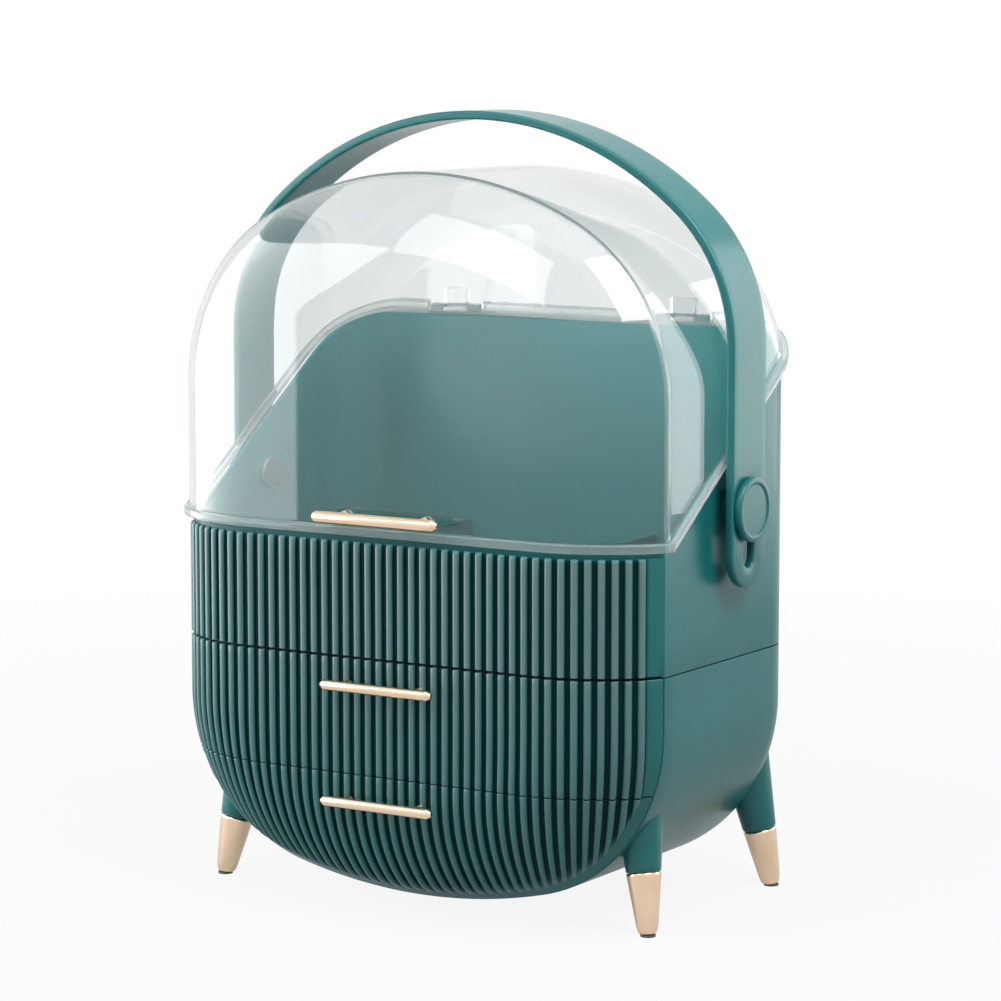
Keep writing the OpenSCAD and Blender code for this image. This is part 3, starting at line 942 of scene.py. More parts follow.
@dataclass(frozen=True)
class Floor(Finish):
    """Pale floor, seen as white, that fades into the backdrop and keeps the object's shadow.

    Attributes:
        name: the material's name.
        glow: how much of the plain white is seen near the object.
        ground: its colour under the light.
        speck: its colour in fine specks.
    """

    name: str
    glow: float = 0.9
    ground: Colour = (0.43, 0.43, 0.43, 1.0)
    speck: Colour = (0.46, 0.46, 0.46, 1.0)

    def paint(self, paint: Paint) -> None:
        """Draws the nodes.

        Args:
            paint: the material's nodes.
        """
        seen = paint.ray("Is Camera Ray").most(paint.ray("Is Transmission Ray"))
        length = {"operation": "LENGTH"}
        away = paint.wire("ShaderNodeVectorMath", length, {0: paint.place()}, "Value")
        mirrored = paint.ray("Is Glossy Ray") * away.span(0.6, 1.6, 0.35, 1.0)
        speckle = paint.noise(500.0, 2.0).span(0.3, 0.7)
        ground = paint.coating(
            {
                "Base Color": paint.mix(speckle, self.ground, self.speck),
                "Roughness": 0.6,
                "Specular IOR Level": 0.2,
            }
        )
        white = paint.wire("ShaderNodeEmission", {}, {"Color": WHITE, "Strength": 1.0})
        share = (seen * away.span(0.35, 1.1, self.glow, 1.0)).most(mirrored)
        paint.finish(paint.blend(share, ground, white))


# In both plastics the third colour is painted shade for the grooves and the fourth a painted
# highlight for the crests.
SHELL = MouldedPlastic(
    "shell_plastic", (0.010, 0.130, 0.132, 1.0), (0.008, 0.118, 0.121, 1.0),
    (0.0012, 0.022, 0.023, 1.0), (0.100, 0.186, 0.189, 1.0), 0.3, 0.05, 0.58,
)
INNER = MouldedPlastic(
    "inner_plastic", (0.008, 0.088, 0.087, 1.0), (0.006, 0.074, 0.074, 1.0),
    (0.001, 0.012, 0.012, 1.0), (0.02, 0.11, 0.11, 1.0), 0.5, 0.2, 0.0, 0.25,
)
CLEAR = ClearPlastic("hood_plastic", (0.935, 0.948, 0.947, 1.0))
GOLD = PlatedMetal("rose_gold_plating", (0.90, 0.68, 0.49, 1.0), (0.86, 0.62, 0.43, 1.0), 0.07)
STEEL = PlatedMetal("zinc_steel", (0.60, 0.61, 0.63, 1.0), (0.52, 0.53, 0.55, 1.0), 0.32, 0.3)
PAD = Rubber("pad_rubber", (0.300, 0.205, 0.145, 1.0))


# ---------------------------------------------------------------------------------------------
# Pieces


class Part:
    """Base of the sub-assemblies: puts a finished mesh on its body.

    Attributes:
        made: names of all pieces so far.
    """

    made: list[str] = []

    def add(
        self, name: str, mesh: bpy.types.Mesh, finish: Finish, body: str, slot: str, *nodes: str
    ) -> None:
        """Makes a piece out of a mesh.

        Args:
            name: the piece's name.
            mesh: its mesh, in the object's frame.
            finish: what it is made of.
            body: the body that it moves with.
            slot: the record's material slot; not used.
            nodes: the CAD nodes that it stands for.
        """
        piece = bpy.data.objects.new(name, mesh)
        bpy.context.scene.collection.objects.link(piece)
        mesh.materials.append(finish.material())
        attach(piece, body)
        if nodes:
            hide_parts(*nodes)
        self.made.append(name)
        log.info("%s on %s: %d points", name, body, len(mesh.vertices))


@dataclass
class RibbedFront(Part):
    """A drawer's ribbed front: rounded ribs, a plain margin and a soft edge.

    Attributes:
        name: the piece's name.
        node: the CAD node that it stands for.
        body: the drawer.
        low: height of its level lower edge, or None where it ends in the round bottom.
        high: height of its level upper edge.
        margin: plain margin where the ribs end.
        rows: rows of points between the ends.
        back: the plane of its back.
    """

    name: str
    node: str
    body: str
    low: float | None
    high: float
    margin: float = 4.0
    rows: int = 18
    back: float = -53.35

    @property
    def lowest(self) -> float:
        """Height that nothing on the front goes below."""
        return self.low if self.low is not None else -1.0

    def lean(self, x: float, z: float) -> float:
        """Where a rib has moved to at a height.

        Args:
            x: where it stands higher up.
            z: the height.

        Returns:
            Its x there.
        """
        share = abs(x) / CASE.half
        moved = 0.75 * (CASE.half - CASE.half_width(z)) * share**3
        return x - math.copysign(moved, x) if x else x

    def column_end(self, x: float) -> float:
        """Where a rib ends at the margin.

        Args:
            x: where it stands higher up.

        Returns:
            The height.
        """
        floor = self.low if self.low is not None else CASE.wide_z - CASE.wide_r + self.margin

        def inside(z: float) -> bool:
            """Whether the rib is still clear of the margin at a height."""
            return CASE.depth(self.lean(x, z), z)[0] >= self.margin

        if inside(floor):
            return floor
        good, bad = self.high - 0.2, floor
        for _ in range(30):
            middle = (good + bad) / 2
            good, bad = (middle, bad) if inside(middle) else (good, middle)
        return good

    def heights(self, end: float) -> list[Triple]:
        """Rows of one column from the top down.

        Args:
            end: height where the column ends.

        Returns:
            Height, how far the surface is drawn in, and the share of the rib's height.
        """
        length = self.high - end
        short = min(1.0, length / 12.0)
        top = [(0.0, 0.6), (0.08, 0.28), (0.25, 0.09), (0.55, 0.0)]
        found = [(self.high - e * short, inset * short, 1.0) for e, inset in top]
        if self.low is None:
            tail = [(7.0, 1.0), (5.0, 0.9), (3.2, 0.68), (1.6, 0.36), (0.0, 0.0)]
            ends = [(end + e * short, 0.0, lift) for e, lift in tail]
        else:
            ends = [(end + e * short, inset * short, 1.0) for e, inset in reversed(top)]
        first, last = found[-1][0], ends[0][0]
        middle = [
            (first + (last - first) * i / self.rows, 0.0, 1.0) for i in range(1, self.rows)
        ]
        return [*found, *middle, *ends]

    def point(self, x: float, z: float, lift: float) -> Point:
        """A point on or over the front.

        Args:
            x: its x before it is raised.
            z: its height before it is raised.
            lift: how far it stands out.

        Returns:
            The point.
        """
        depth, out_x, out_z = CASE.depth(x, z)
        y, side, ahead = SECTION.face(max(0.0, depth))
        return (
            x + lift * side * out_x,
            min(self.back, y - lift * ahead),
            min(self.high, max(self.lowest, z + lift * side * out_z)),
        )

    def rim(self, path: list[Row]) -> list[list[Point]]:
        """Rings from the ribbed field out to the hard edge and round it.

        Args:
            path: the field's border, as x, height, how far the surface is drawn in, and mark.

        Returns:
            The rings, each as long as the path.
        """
        lengths = [0.0]
        for a, b in zip(path, path[1:]):
            lengths.append(lengths[-1] + math.hypot(b[0] - a[0], b[1] - a[1]))
        start = CASE.length_to(0.0, self.high)
        final = CASE.length_to(0.0, self.low) if self.low is not None else -start
        shift = [start + (final - start) * length / lengths[-1] for length in lengths]
        aims = [CASE.along(0.0, abs(s)) for s in shift]
        signs = [-1.0 if s < 0 else 1.0 for s in shift]
        rings: list[list[Point]] = []
        for share in (0.0, 0.2, 0.4, 0.6, 0.76, 0.88):
            ring = []
            for (x, z, inset, _), aim, sign in zip(path, aims, signs):
                across, up = (sign * aim.x - x) * share, (aim.z - z) * share
                ring.append(self.point(x + across, z + up, -inset))
            rings.append(ring)
        tip, reach = 0.25, 0.7
        first, final_spot = (tip + reach * 0.53, self.back - reach * 0.85), (tip + reach, self.back)
        for share in (0.0, 0.25, 0.5, 0.75, 1.0):
            depth, y = rounded(first, (tip, self.back), final_spot, share)
            ring = []
            for (_, _, inset, _), aim, sign in zip(path, aims, signs):
                up = min(self.high, max(self.lowest, aim.z - aim.out_z * depth))
                across = sign * (aim.x - aim.out_x * depth)
                ring.append((across, min(self.back, y + inset * 0.5), up))
            rings.append(ring)
        return rings

    def ribbed_field(self) -> tuple[list[list[Point]], list[list[Row]]]:
        """The ribbed field, as columns of points from the left to the right.

        Returns:
            The points, and for each its x, height, how far it is drawn in, and its mark, which
            paints shade into the grooves and a highlight on the crests.
        """
        flat = CASE.half - SECTION.run
        right = [
            (min(s, flat) + SECTION.roll_r * math.sin(max(0.0, s - flat) / SECTION.roll_r), rib)
            for s, rib in RIBS.columns()
        ]
        grid, border = [], []
        for x, rib in [(-x, rib) for x, rib in reversed(right[1:])] + right:
            column, spots = [], []
            for z, inset, lift in self.heights(self.column_end(x)):
                across = self.lean(x, z)
                column.append(self.point(across, z, RIBS.height * rib * lift - inset))
                # The mark paints shade into the grooves and a highlight on the crests.
                spots.append((across, z, inset, RIBS.painted_light_mark(rib, z) * lift))
            grid.append(column)
            border.append(spots)
        return grid, border

    def close_round(
        self, surface: Surface, numbers: list[list[int]], border: list[list[Row]]
    ) -> None:
        """Adds the margin and the back to a front that ends in the round bottom.

        Args:
            surface: what they are added to.
            numbers: the numbers of the field's columns.
            border: the field's border, a list for each column.
        """
        path = border[-1] + [column[-1] for column in reversed(border[:-1])]
        path += list(reversed(border[0][:-1]))
        rings = surface.skin(self.rim(path), marks=[[spot[3] for spot in path]])
        top = [ring[-1] for ring in reversed(rings)] + [column[0] for column in numbers]
        top += [ring[0] for ring in rings]
        back = surface.row((surface.points[i][0], self.back, self.high) for i in top)
        surface.strip(top, back)
        surface.cap([*rings[-1], *back])

    def close_level(
        self, surface: Surface, numbers: list[list[int]], border: list[list[Row]]
    ) -> None:
        """Adds the margins and the back to a front with two level edges.

        Args:
            surface: what they are added to.
            numbers: the numbers of the field's columns.
            border: the field's border, a list for each column.
        """
        marks = [[spot[3] for spot in border[-1]]]
        margin = self.rim(border[-1])
        right = surface.skin(margin, marks=marks)
        left = surface.skin([[(-x, y, z) for x, y, z in ring] for ring in margin], marks=marks)
        sides = []
        for end, height in ((0, self.high), (-1, self.low)):
            line = [ring[end] for ring in reversed(left)]
            line += [column[end] for column in numbers] + [ring[end] for ring in right]
            back = surface.row((surface.points[i][0], self.back, height) for i in line)
            surface.strip(line, back)
            sides.append(back)
        surface.cap([*right[-1], *reversed(sides[1]), *reversed(left[-1]), *sides[0]])

    def build(self) -> None:
        """Makes the front."""
        grid, border = self.ribbed_field()
        surface = Surface()
        marks = [[spot[3] for spot in column] for column in border]
        numbers = surface.skin(grid, marks=marks)
        close = self.close_round if self.low is None else self.close_level
        close(surface, numbers, border)
        mesh = surface.mesh(self.name, 38.0)
        self.add(self.name, mesh, SHELL, self.body, "shell_green", self.node)


@dataclass
class Tray(Part):
    """The open tray: a deep tub with a ribbed front and a rim that slopes up to the hinges.

    Attributes:
        low: height of its underside.
        floor_t: thickness of its floor.
        front_wall: thickness of the front wall.
        wall: thickness of the other walls.
        plain: plain band under the rim.
        channel: depth of the channel along the front's lower edge.
        channel_h: height of the channel.
        lip_painted_shadow: mark of the lip's painted shadow on the plain band in front.
    """

    low: float = 131.9
    floor_t: float = 2.5
    front_wall: float = 3.0
    wall: float = 2.5
    plain: float = 2.5
    channel: float = 1.1
    channel_h: float = 1.0
    lip_painted_shadow: float = 0.65

    def stops(self) -> list[Stop]:
        """The right half of the plan.

        Returns:
            Its stops, from the middle of the front to the middle of the back.
        """
        flat, rear = CASE.half - SECTION.run, CASE.half - SECTION.back_r
        found = []
        for s, rib in RIBS.columns():
            if s <= flat:
                found.append(Stop(Zone.FRONT, CASE.half - s, rib, True))
            else:
                found.append(Stop(Zone.ROLL, (s - flat) / SECTION.roll_r, rib, True))
        last, limit = found[-1].at, SECTION.last_angle(0.0)
        found += [Stop(Zone.ROLL, last + (limit - last) * i / 5) for i in range(1, 5)]
        found += [Stop(Zone.EDGE, i / 5) for i in range(5)]
        found += [Stop(Zone.SIDE, i / 16) for i in range(16)]
        found += [Stop(Zone.BACK, math.pi / 2 * i / 16) for i in range(16)]
        found += [Stop(Zone.REAR, SECTION.back_r + i * rear / 6) for i in range(7)]
        return found

    def rows(self) -> list[Row]:
        """The walls' profile from the middle of the underside to the rim.

        Returns:
            Share of the height, height added to it, how far the skin is drawn in, and the share
            of a rib's height.
        """
        tail = self.plain
        return [
            (0.0, 0.0, 0.6, 1.0),
            (0.0, 0.08, 0.28, 1.0),
            (0.0, 0.25, 0.09, 1.0),
            (0.0, 0.6, 0.0, 1.0),
            *((share, 0.0, 0.0, 1.0) for share in (0.2, 0.4, 0.6, 0.8)),
            (1.0, -tail - 1.9, 0.0, 1.0),
            (1.0, -tail - 1.3, 0.0, 0.95),
            (1.0, -tail - 0.7, 0.0, 0.77),
            (1.0, -tail - 0.25, 0.0, 0.49),
            (1.0, -tail, 0.0, 0.0),
            (1.0, -0.6, 0.0, 0.0),
            (1.0, -0.25, 0.1, 0.0),
            (1.0, -0.06, 0.32, 0.0),
            (1.0, 0.0, 0.65, 0.0),
        ]

    def rebate(self) -> list[Row]:
        """What the lowest rows are in front, where the channel runs.

        Returns:
            Rows like those of the whole profile.
        """
        low, high = (0.0, 0.0, self.channel, 0.0), (0.0, self.channel_h, self.channel, 0.0)
        edge = ((0.04, 0.2), (0.16, 0.0))
        return [low, high, *((0.0, self.channel_h + more, inset, 1.0) for more, inset in edge)]

    def inner_rows(self) -> list[Triple]:
        """The profile inside, from the rim to the floor.

        Returns:
            Share of the height, height added to it, and lean inward.
        """
        return [
            (1.0, 0.0, -0.5),
            (1.0, -0.12, -0.18),
            (1.0, -0.5, 0.0),
            (0.7, 0.0, 0.0),
            (0.35, 0.0, 0.0),
            (0.0, self.floor_t + 1.6, 0.0),
            (0.0, self.floor_t + 0.7, 0.25),
            (0.0, self.floor_t + 0.15, 0.9),
            (0.0, self.floor_t, 1.8),
        ]

    def height(self, share: float, more: float, y: float) -> float:
        """Height of a row on the wall at y."""
        return self.low + share * (PARTING.z(y) - self.low) + more

    def outer(self, stop: Stop, row: Row) -> Point:
        """A point on the outside.

        Args:
            stop: the place.
            row: a row of the profile.

        Returns:
            The point.
        """
        share, more, inset, lift = row
        depth, y = SECTION.spot(stop, RIBS.height * stop.rib * lift - inset)
        return CASE.half - depth, y, self.height(share, more, y)

    def shade(self, stop: Stop, lift: float, painted_shade_mark: float) -> float:
        """Mark of a point outside: painted shade or painted highlight.

        Args:
            stop: the place.
            lift: share of a rib's height in its row.
            painted_shade_mark: the mark in front where the row has no ribs: full painted shade in
                the channel, the lip's painted shadow on the plain band.

        Returns:
            The mark.
        """
        if stop.ahead and lift == 0.0:
            return painted_shade_mark
        return RIBS.painted_light_mark(stop.rib, PARTING.level_z) * lift if stop.ribbed else 0.0

    def inner(self, stop: Stop, row: Triple) -> Point:
        """A point on the inside.

        Args:
            stop: the place.
            row: a row of the profile inside.

        Returns:
            The point.
        """
        share, more, lean = row
        grow = -(self.front_wall if stop.ahead else self.wall) - lean
        if stop.zone is Zone.REAR:
            depth, y = max(stop.at, SECTION.back_r), SECTION.back_y + grow
        else:
            depth, y = SECTION.spot(stop, grow)
        return CASE.half - depth, y, self.height(share, more, y)

    def build(self) -> None:
        """Makes the tray."""
        stops = self.stops()
        rings, marks = [], []
        for row, cut in zip_longest(self.rows(), self.rebate()):
            # The channel gets the full painted shade; the plain band under the rim gets the lip's
            # painted shadow.
            painted_shade_mark = 1.0 if cut else self.lip_painted_shadow
            here = [(stop, cut if cut and stop.ahead else row) for stop in stops]
            rings.append(closed_ring([self.outer(*spot) for spot in here]))
            right = [self.shade(stop, own[3], painted_shade_mark) for stop, own in here]
            marks.append(right + right[-2:0:-1])
        for row in self.inner_rows():
            rings.append(closed_ring([self.inner(stop, row) for stop in stops]))
        marks += [[0.0] * len(rings[0])] * len(self.inner_rows())
        surface = Surface()
        numbers = surface.skin(rings, closed=True, marks=marks)
        surface.cap(numbers[0])
        surface.cap(numbers[-1])
        mesh = surface.mesh("tray_tub", 38.0)
        self.add("tray_tub", mesh, SHELL, "case", "shell_green", "tray_shell", "tray_front")


@dataclass
class Cabinet(Part):
    """The round-bottomed cabinet: a hollow moulding, open in front.

    Attributes:
        front: plane of its front rim.
        top: height of its top.
        wall: thickness of its walls.
    """

    front: float = -52.9
    top: float = 131.5
    wall: float = 2.5

    def profile(self, grow: float) -> list[Pair]:
        """The skin behind the rim, from front to back.

        Args:
            grow: 0 for the outside, minus the wall for the inside.

        Returns:
            Depth and y.
        """
        back_stops = [Stop(Zone.BACK, math.pi / 2 * i / 16) for i in range(17)]
        start = self.front + 0.6
        run = SECTION.back_y - SECTION.back_r - start
        sides = [start + run * i / 10 for i in range(10)]
        return [
            *((-grow, y) for y in sides),
            *(SECTION.spot(stop, grow) for stop in back_stops),
            (SECTION.back_r + 4.0, SECTION.back_y + grow),
        ]

    def build(self) -> None:
        """Makes the cabinet."""
        wall = self.wall
        rim = [
            (0.55, self.front),
            (0.22, self.front + 0.08),
            (0.06, self.front + 0.26),
            *self.profile(0.0),
        ]
        inner_rim = [(wall - 0.05, self.front + 0.26), (wall - 0.3, self.front + 0.05)]
        inside = [*reversed(self.profile(-wall)), *inner_rim]
        rows = [CASE.arch(depth, self.top - wall, y, 6, 40) for depth, y in inside]
        rows += [CASE.arch(depth, self.top, y, 6, 40) for depth, y in rim]
        surface = Surface()
        numbers = surface.skin(rows)
        surface.cap(numbers[0])
        surface.cap(numbers[-1])
        inner, outer = numbers[: len(inside)], numbers[len(inside) :]
        for half in (inner, outer):
            surface.cap([row[0] for row in half] + [row[-1] for row in reversed(half)])
        surface.cap([inner[-1][0], outer[0][0], outer[0][-1], inner[-1][-1]])
        mesh = surface.mesh("cabinet_body", 38.0)
        self.add("cabinet_body", mesh, SHELL, "case", "shell_green", "cabinet_shell")


@dataclass
class Leg(Part):
    """One leg: a moulded cone that runs into the cabinet, on a metal foot tip.

    Attributes:
        side: -1 on the left, 1 on the right.
        row: -1 in front, 1 at the back.
        in_x: how far in from the case's side it stands.
        in_front: how far behind the hard edge a front leg stands.
        in_back: how far in front of the back a back leg stands.
        tip_h: height of the foot tip.
        tip_low: the tip's radius at the floor.
        tip_top: its radius at its top.
        leg_top: the leg's radius where it would end.
        run: length from the tip to there.
        lean_x: slope outward to the side.
        lean_y: slope outward to the front or back.
        sides: points around.
    """

    side: int
    row: int
    in_x: float = 12.8
    in_front: float = 7.4
    in_back: float = 4.8
    tip_h: float = 31.5
    tip_low: float = 4.9
    tip_top: float = 8.8
    leg_top: float = 13.5
    run: float = 46.0
    lean_x: float = 0.165
    lean_y: float = 0.135
    sides: int = 56

    @property
    def place(self) -> str:
        """Where it stands, in words."""
        return f"{'front' if self.row < 0 else 'back'}_{'left' if self.side < 0 else 'right'}"

    @property
    def frame(self) -> Matrix:
        """Turns the leg's own upright frame into the object's.

        Returns:
            The matrix.
        """
        x = self.side * (CASE.half - self.in_x)
        ahead, behind = SECTION.edge_y + self.in_front, SECTION.back_y - self.in_back
        y = ahead if self.row < 0 else behind
        turn_x = math.atan(self.row * self.lean_y)
        turn_y = -self.side * math.atan(self.lean_x)
        return (
            Matrix.Translation((x, y, 0.0))
            @ Matrix.Rotation(turn_y, 4, "Y")
            @ Matrix.Rotation(turn_x, 4, "X")
        )

    def at(self, radius: float, height: float, angle: float) -> Point:
        """A point around the leg's axis."""
        spot = self.frame @ Vector((radius * math.cos(angle), radius * math.sin(angle), height))
        return spot.x, spot.y, spot.z

    def buried(self, point: Point) -> bool:
        """Whether a point lies in the cabinet.

        Args:
            point: the point.

        Returns:
            True where it does.
        """
        x, y, z = point
        depth = CASE.depth(x, z)[0]
        front = max(SECTION.edge_y, SECTION.face(depth)[0])
        return depth > 0 and front < y < SECTION.back_face(depth)

    def ends(self, angles: list[float]) -> list[float]:
        """How far up the leg's sides run until they are in the cabinet.

        Args:
            angles: where the sides lie.

        Returns:
            Shares of the leg's length.
        """
        ends = []
        for angle in angles:
            low, high = 0.0, 1.0
            for _ in range(24):
                middle = (low + high) / 2
                radius = self.tip_top + (self.leg_top - self.tip_top) * middle
                if self.buried(self.at(radius, self.tip_h + self.run * middle, angle)):
                    high = middle
                else:
                    low = middle
            ends.append(min(1.0, low + 0.012))
        return ends

    def build_leg(self, angles: list[float]) -> None:
        """Makes the leg.

        Args:
            angles: where its points lie around it.
        """
        rows = []
        for radius, lift in ((0.0, 0.15), (7.9, 0.15), (8.5, 0.3), (8.75, 0.7)):
            rows.append([self.at(radius, self.tip_h + lift, a) for a in angles])
        ends = self.ends(angles)
        for i in range(9):
            share = (i + 0.4) / 8.4
            row = []
            for angle, end in zip(angles, ends):
                radius = self.tip_top + (self.leg_top - self.tip_top) * end * share
                row.append(self.at(radius, self.tip_h + self.run * end * share, angle))
            rows.append(row)
        surface, name = Surface(), f"leg_cone_{self.place}"
        surface.cap(surface.skin(rows, closed=True)[-1])
        mesh = surface.mesh(name, 45.0)
        self.add(name, mesh, SHELL, "case", "shell_green", f"leg_{self.place}")

    def build_tip(self, angles: list[float]) -> None:
        """Makes the foot tip.

        Args:
            angles: where its points lie around it.
        """
        slope = (self.tip_top - self.tip_low) / self.tip_h
        profile = [(0.0, 0.0), (2.6, 0.0), (3.5, 0.7), (4.25, 1.5), (4.8, 2.5), (5.15, 3.6)]
        profile += [(self.tip_low + slope * z, z) for z in (6.0, 14.0, 22.0, 29.8, 30.8)]
        profile += [(8.55, 31.2), (8.2, 31.45), (0.0, 31.45)]
        rows = []
        for radius, height in profile:
            row = [self.at(radius, height, angle) for angle in angles]
            rows.append([(x, y, max(1.0, z)) for x, y, z in row])
        surface, name = Surface(), f"tip_metal_{self.place}"
        surface.skin(rows, closed=True)
        mesh = surface.mesh(name, 50.0)
        self.add(name, mesh, GOLD, "case", "rose_gold", f"foot_tip_{self.place}")

    def build(self) -> None:
        """Makes the leg and its foot tip."""
        angles = [2 * math.pi * i / self.sides for i in range(self.sides)]
        self.build_leg(angles)
        self.build_tip(angles)


@dataclass
class Hood(Part):
    """The clear hood: a thin dome with a softened front edge and a lip around its rim.

    Attributes:
        wall: its thickness.
        gap: gap to the tray.
        lip_out: how far the lip stands out.
        lip_h: its height.
        hinge_x: the hinges' distance from the middle.
        hinge_half: half the stretch at a hinge without a lip.
        joint: height above the rim where dome and rim meet.
        edge_painted_sheen: how much painted grey sheen the front edge gets, standing in for its
            reflection.
        lip_painted_sheen: how much painted grey sheen the lip gets, standing in for its reflection.
    """

    wall: float = 2.5
    gap: float = 0.4
    lip_out: float = 3.0
    lip_h: float = 4.0
    hinge_x: float = 70.0
    hinge_half: float = 17.3
    joint: float = 5.2
    edge_painted_sheen: float = 0.32
    lip_painted_sheen: float = 0.32

    def stops(self) -> list[Stop]:
        """The dome's stops from front to back, with a guard ring on either flat."""
        course = HOOD_SECTION.course(26, 8, 14, 16)
        return [Stop(Zone.FRONT, 60.5), *course, Stop(Zone.REAR, 34.0)]

    def spot(self, stop: Stop, grow: float, above: float) -> Point:
        """A point low on the dome.

        Args:
            stop: its place on the skin.
            grow: how far the skin is moved outward.
            above: its height above the rim.

        Returns:
            The point.
        """
        depth, y = HOOD_SECTION.spot(stop, grow)
        z = PARTING.z(y) + self.gap + above
        return HOOD.half_width(z, depth), y, z

    def dome(self, surface: Surface, grow: float) -> list[list[int]]:
        """Spans the dome above the rim, marked with painted grey sheen along its front edge.

        Args:
            surface: what it is added to.
            grow: 0 for the outside, minus the wall for the inside.

        Returns:
            The points' numbers, a row for each stop, from the right foot over to the left.
        """
        rows = []
        for stop in self.stops():
            depth, y = HOOD_SECTION.spot(stop, grow)
            z = PARTING.z(y) + self.gap + self.joint
            rows.append(HOOD.arch(depth, z, y, 8, 56))
        # The front edge is marked with painted grey sheen.
        marks = [
            [self.edge_painted_sheen if stop.zone is Zone.EDGE else 0.0] * len(rows[0])
            for stop in self.stops()
        ]
        return surface.skin(rows, marks=marks)

    def rim_line(self, above: float, out: float) -> list[Point]:
        """One closed line around the rim.

        Args:
            above: its height above the rim.
            out: how far it stands out.

        Returns:
            Its points.
        """
        right: list[Point] = []
        for x in (0.0, 20.0, 40.0, 60.0, 76.0):
            y = HOOD_SECTION.front_y - out
            right.append((x, y, PARTING.z(y) + self.gap + above))
        right += [self.spot(stop, out, above) for stop in self.stops()]
        near, far = self.hinge_x - self.hinge_half, self.hinge_x + self.hinge_half
        rear = [(far + 5, True), (far, True), (far, False), (self.hinge_x, False)]
        rear += [(near, False), (near, True), (35.0, True), (17.0, True), (0.0, True)]
        for x, lip in rear:
            y = SECTION.back_y + (out if lip else min(0.0, out))
            right.append((x, y, PARTING.z(y) + self.gap + above))
        return closed_ring(right)

    def build(self) -> None:
        """Makes the hood."""
        surface = Surface()
        out, high = self.lip_out, self.lip_h
        profile = [
            (self.joint, -self.wall),
            (0.6, -self.wall),
            (0.15, -self.wall + 0.15),
            (0.0, -self.wall + 0.6),
            (0.0, out - 0.9),
            (0.25, out - 0.25),
            (0.9, out),
            (high - 0.9, out),
            (high - 0.25, out - 0.25),
            (high, out - 0.9),
            (high, 0.7),
            (high + 0.2, 0.2),
            (high + 0.7, 0.0),
            (self.joint, 0.0),
        ]
        lines = [self.rim_line(e, h) for e, h in profile]
        # The lip is marked with painted grey sheen.
        clean, grey_sheen = [0.0] * len(lines[0]), [self.lip_painted_sheen] * len(lines[0])
        marks = [clean, *[grey_sheen] * (len(profile) - 3), clean, clean]
        rim = surface.skin(lines, closed=True, marks=marks)
        for grow, ring in ((0.0, rim[-1]), (-self.wall, rim[0])):
            grid = self.dome(surface, grow)
            count = len(ring)
            ahead = [ring[i % count] for i in range(-4, 5)]
            surface.cap([*ahead, *grid[0]])
            first = 5 + len(grid)
            behind = [ring[i] for i in range(first, count + 1 - first)]
            surface.cap([*behind, *reversed(grid[-1])])
        mesh = surface.mesh("clear_hood", 40.0)
        self.add("clear_hood", mesh, CLEAR, "hood", "clear_hood", "hood_shell")


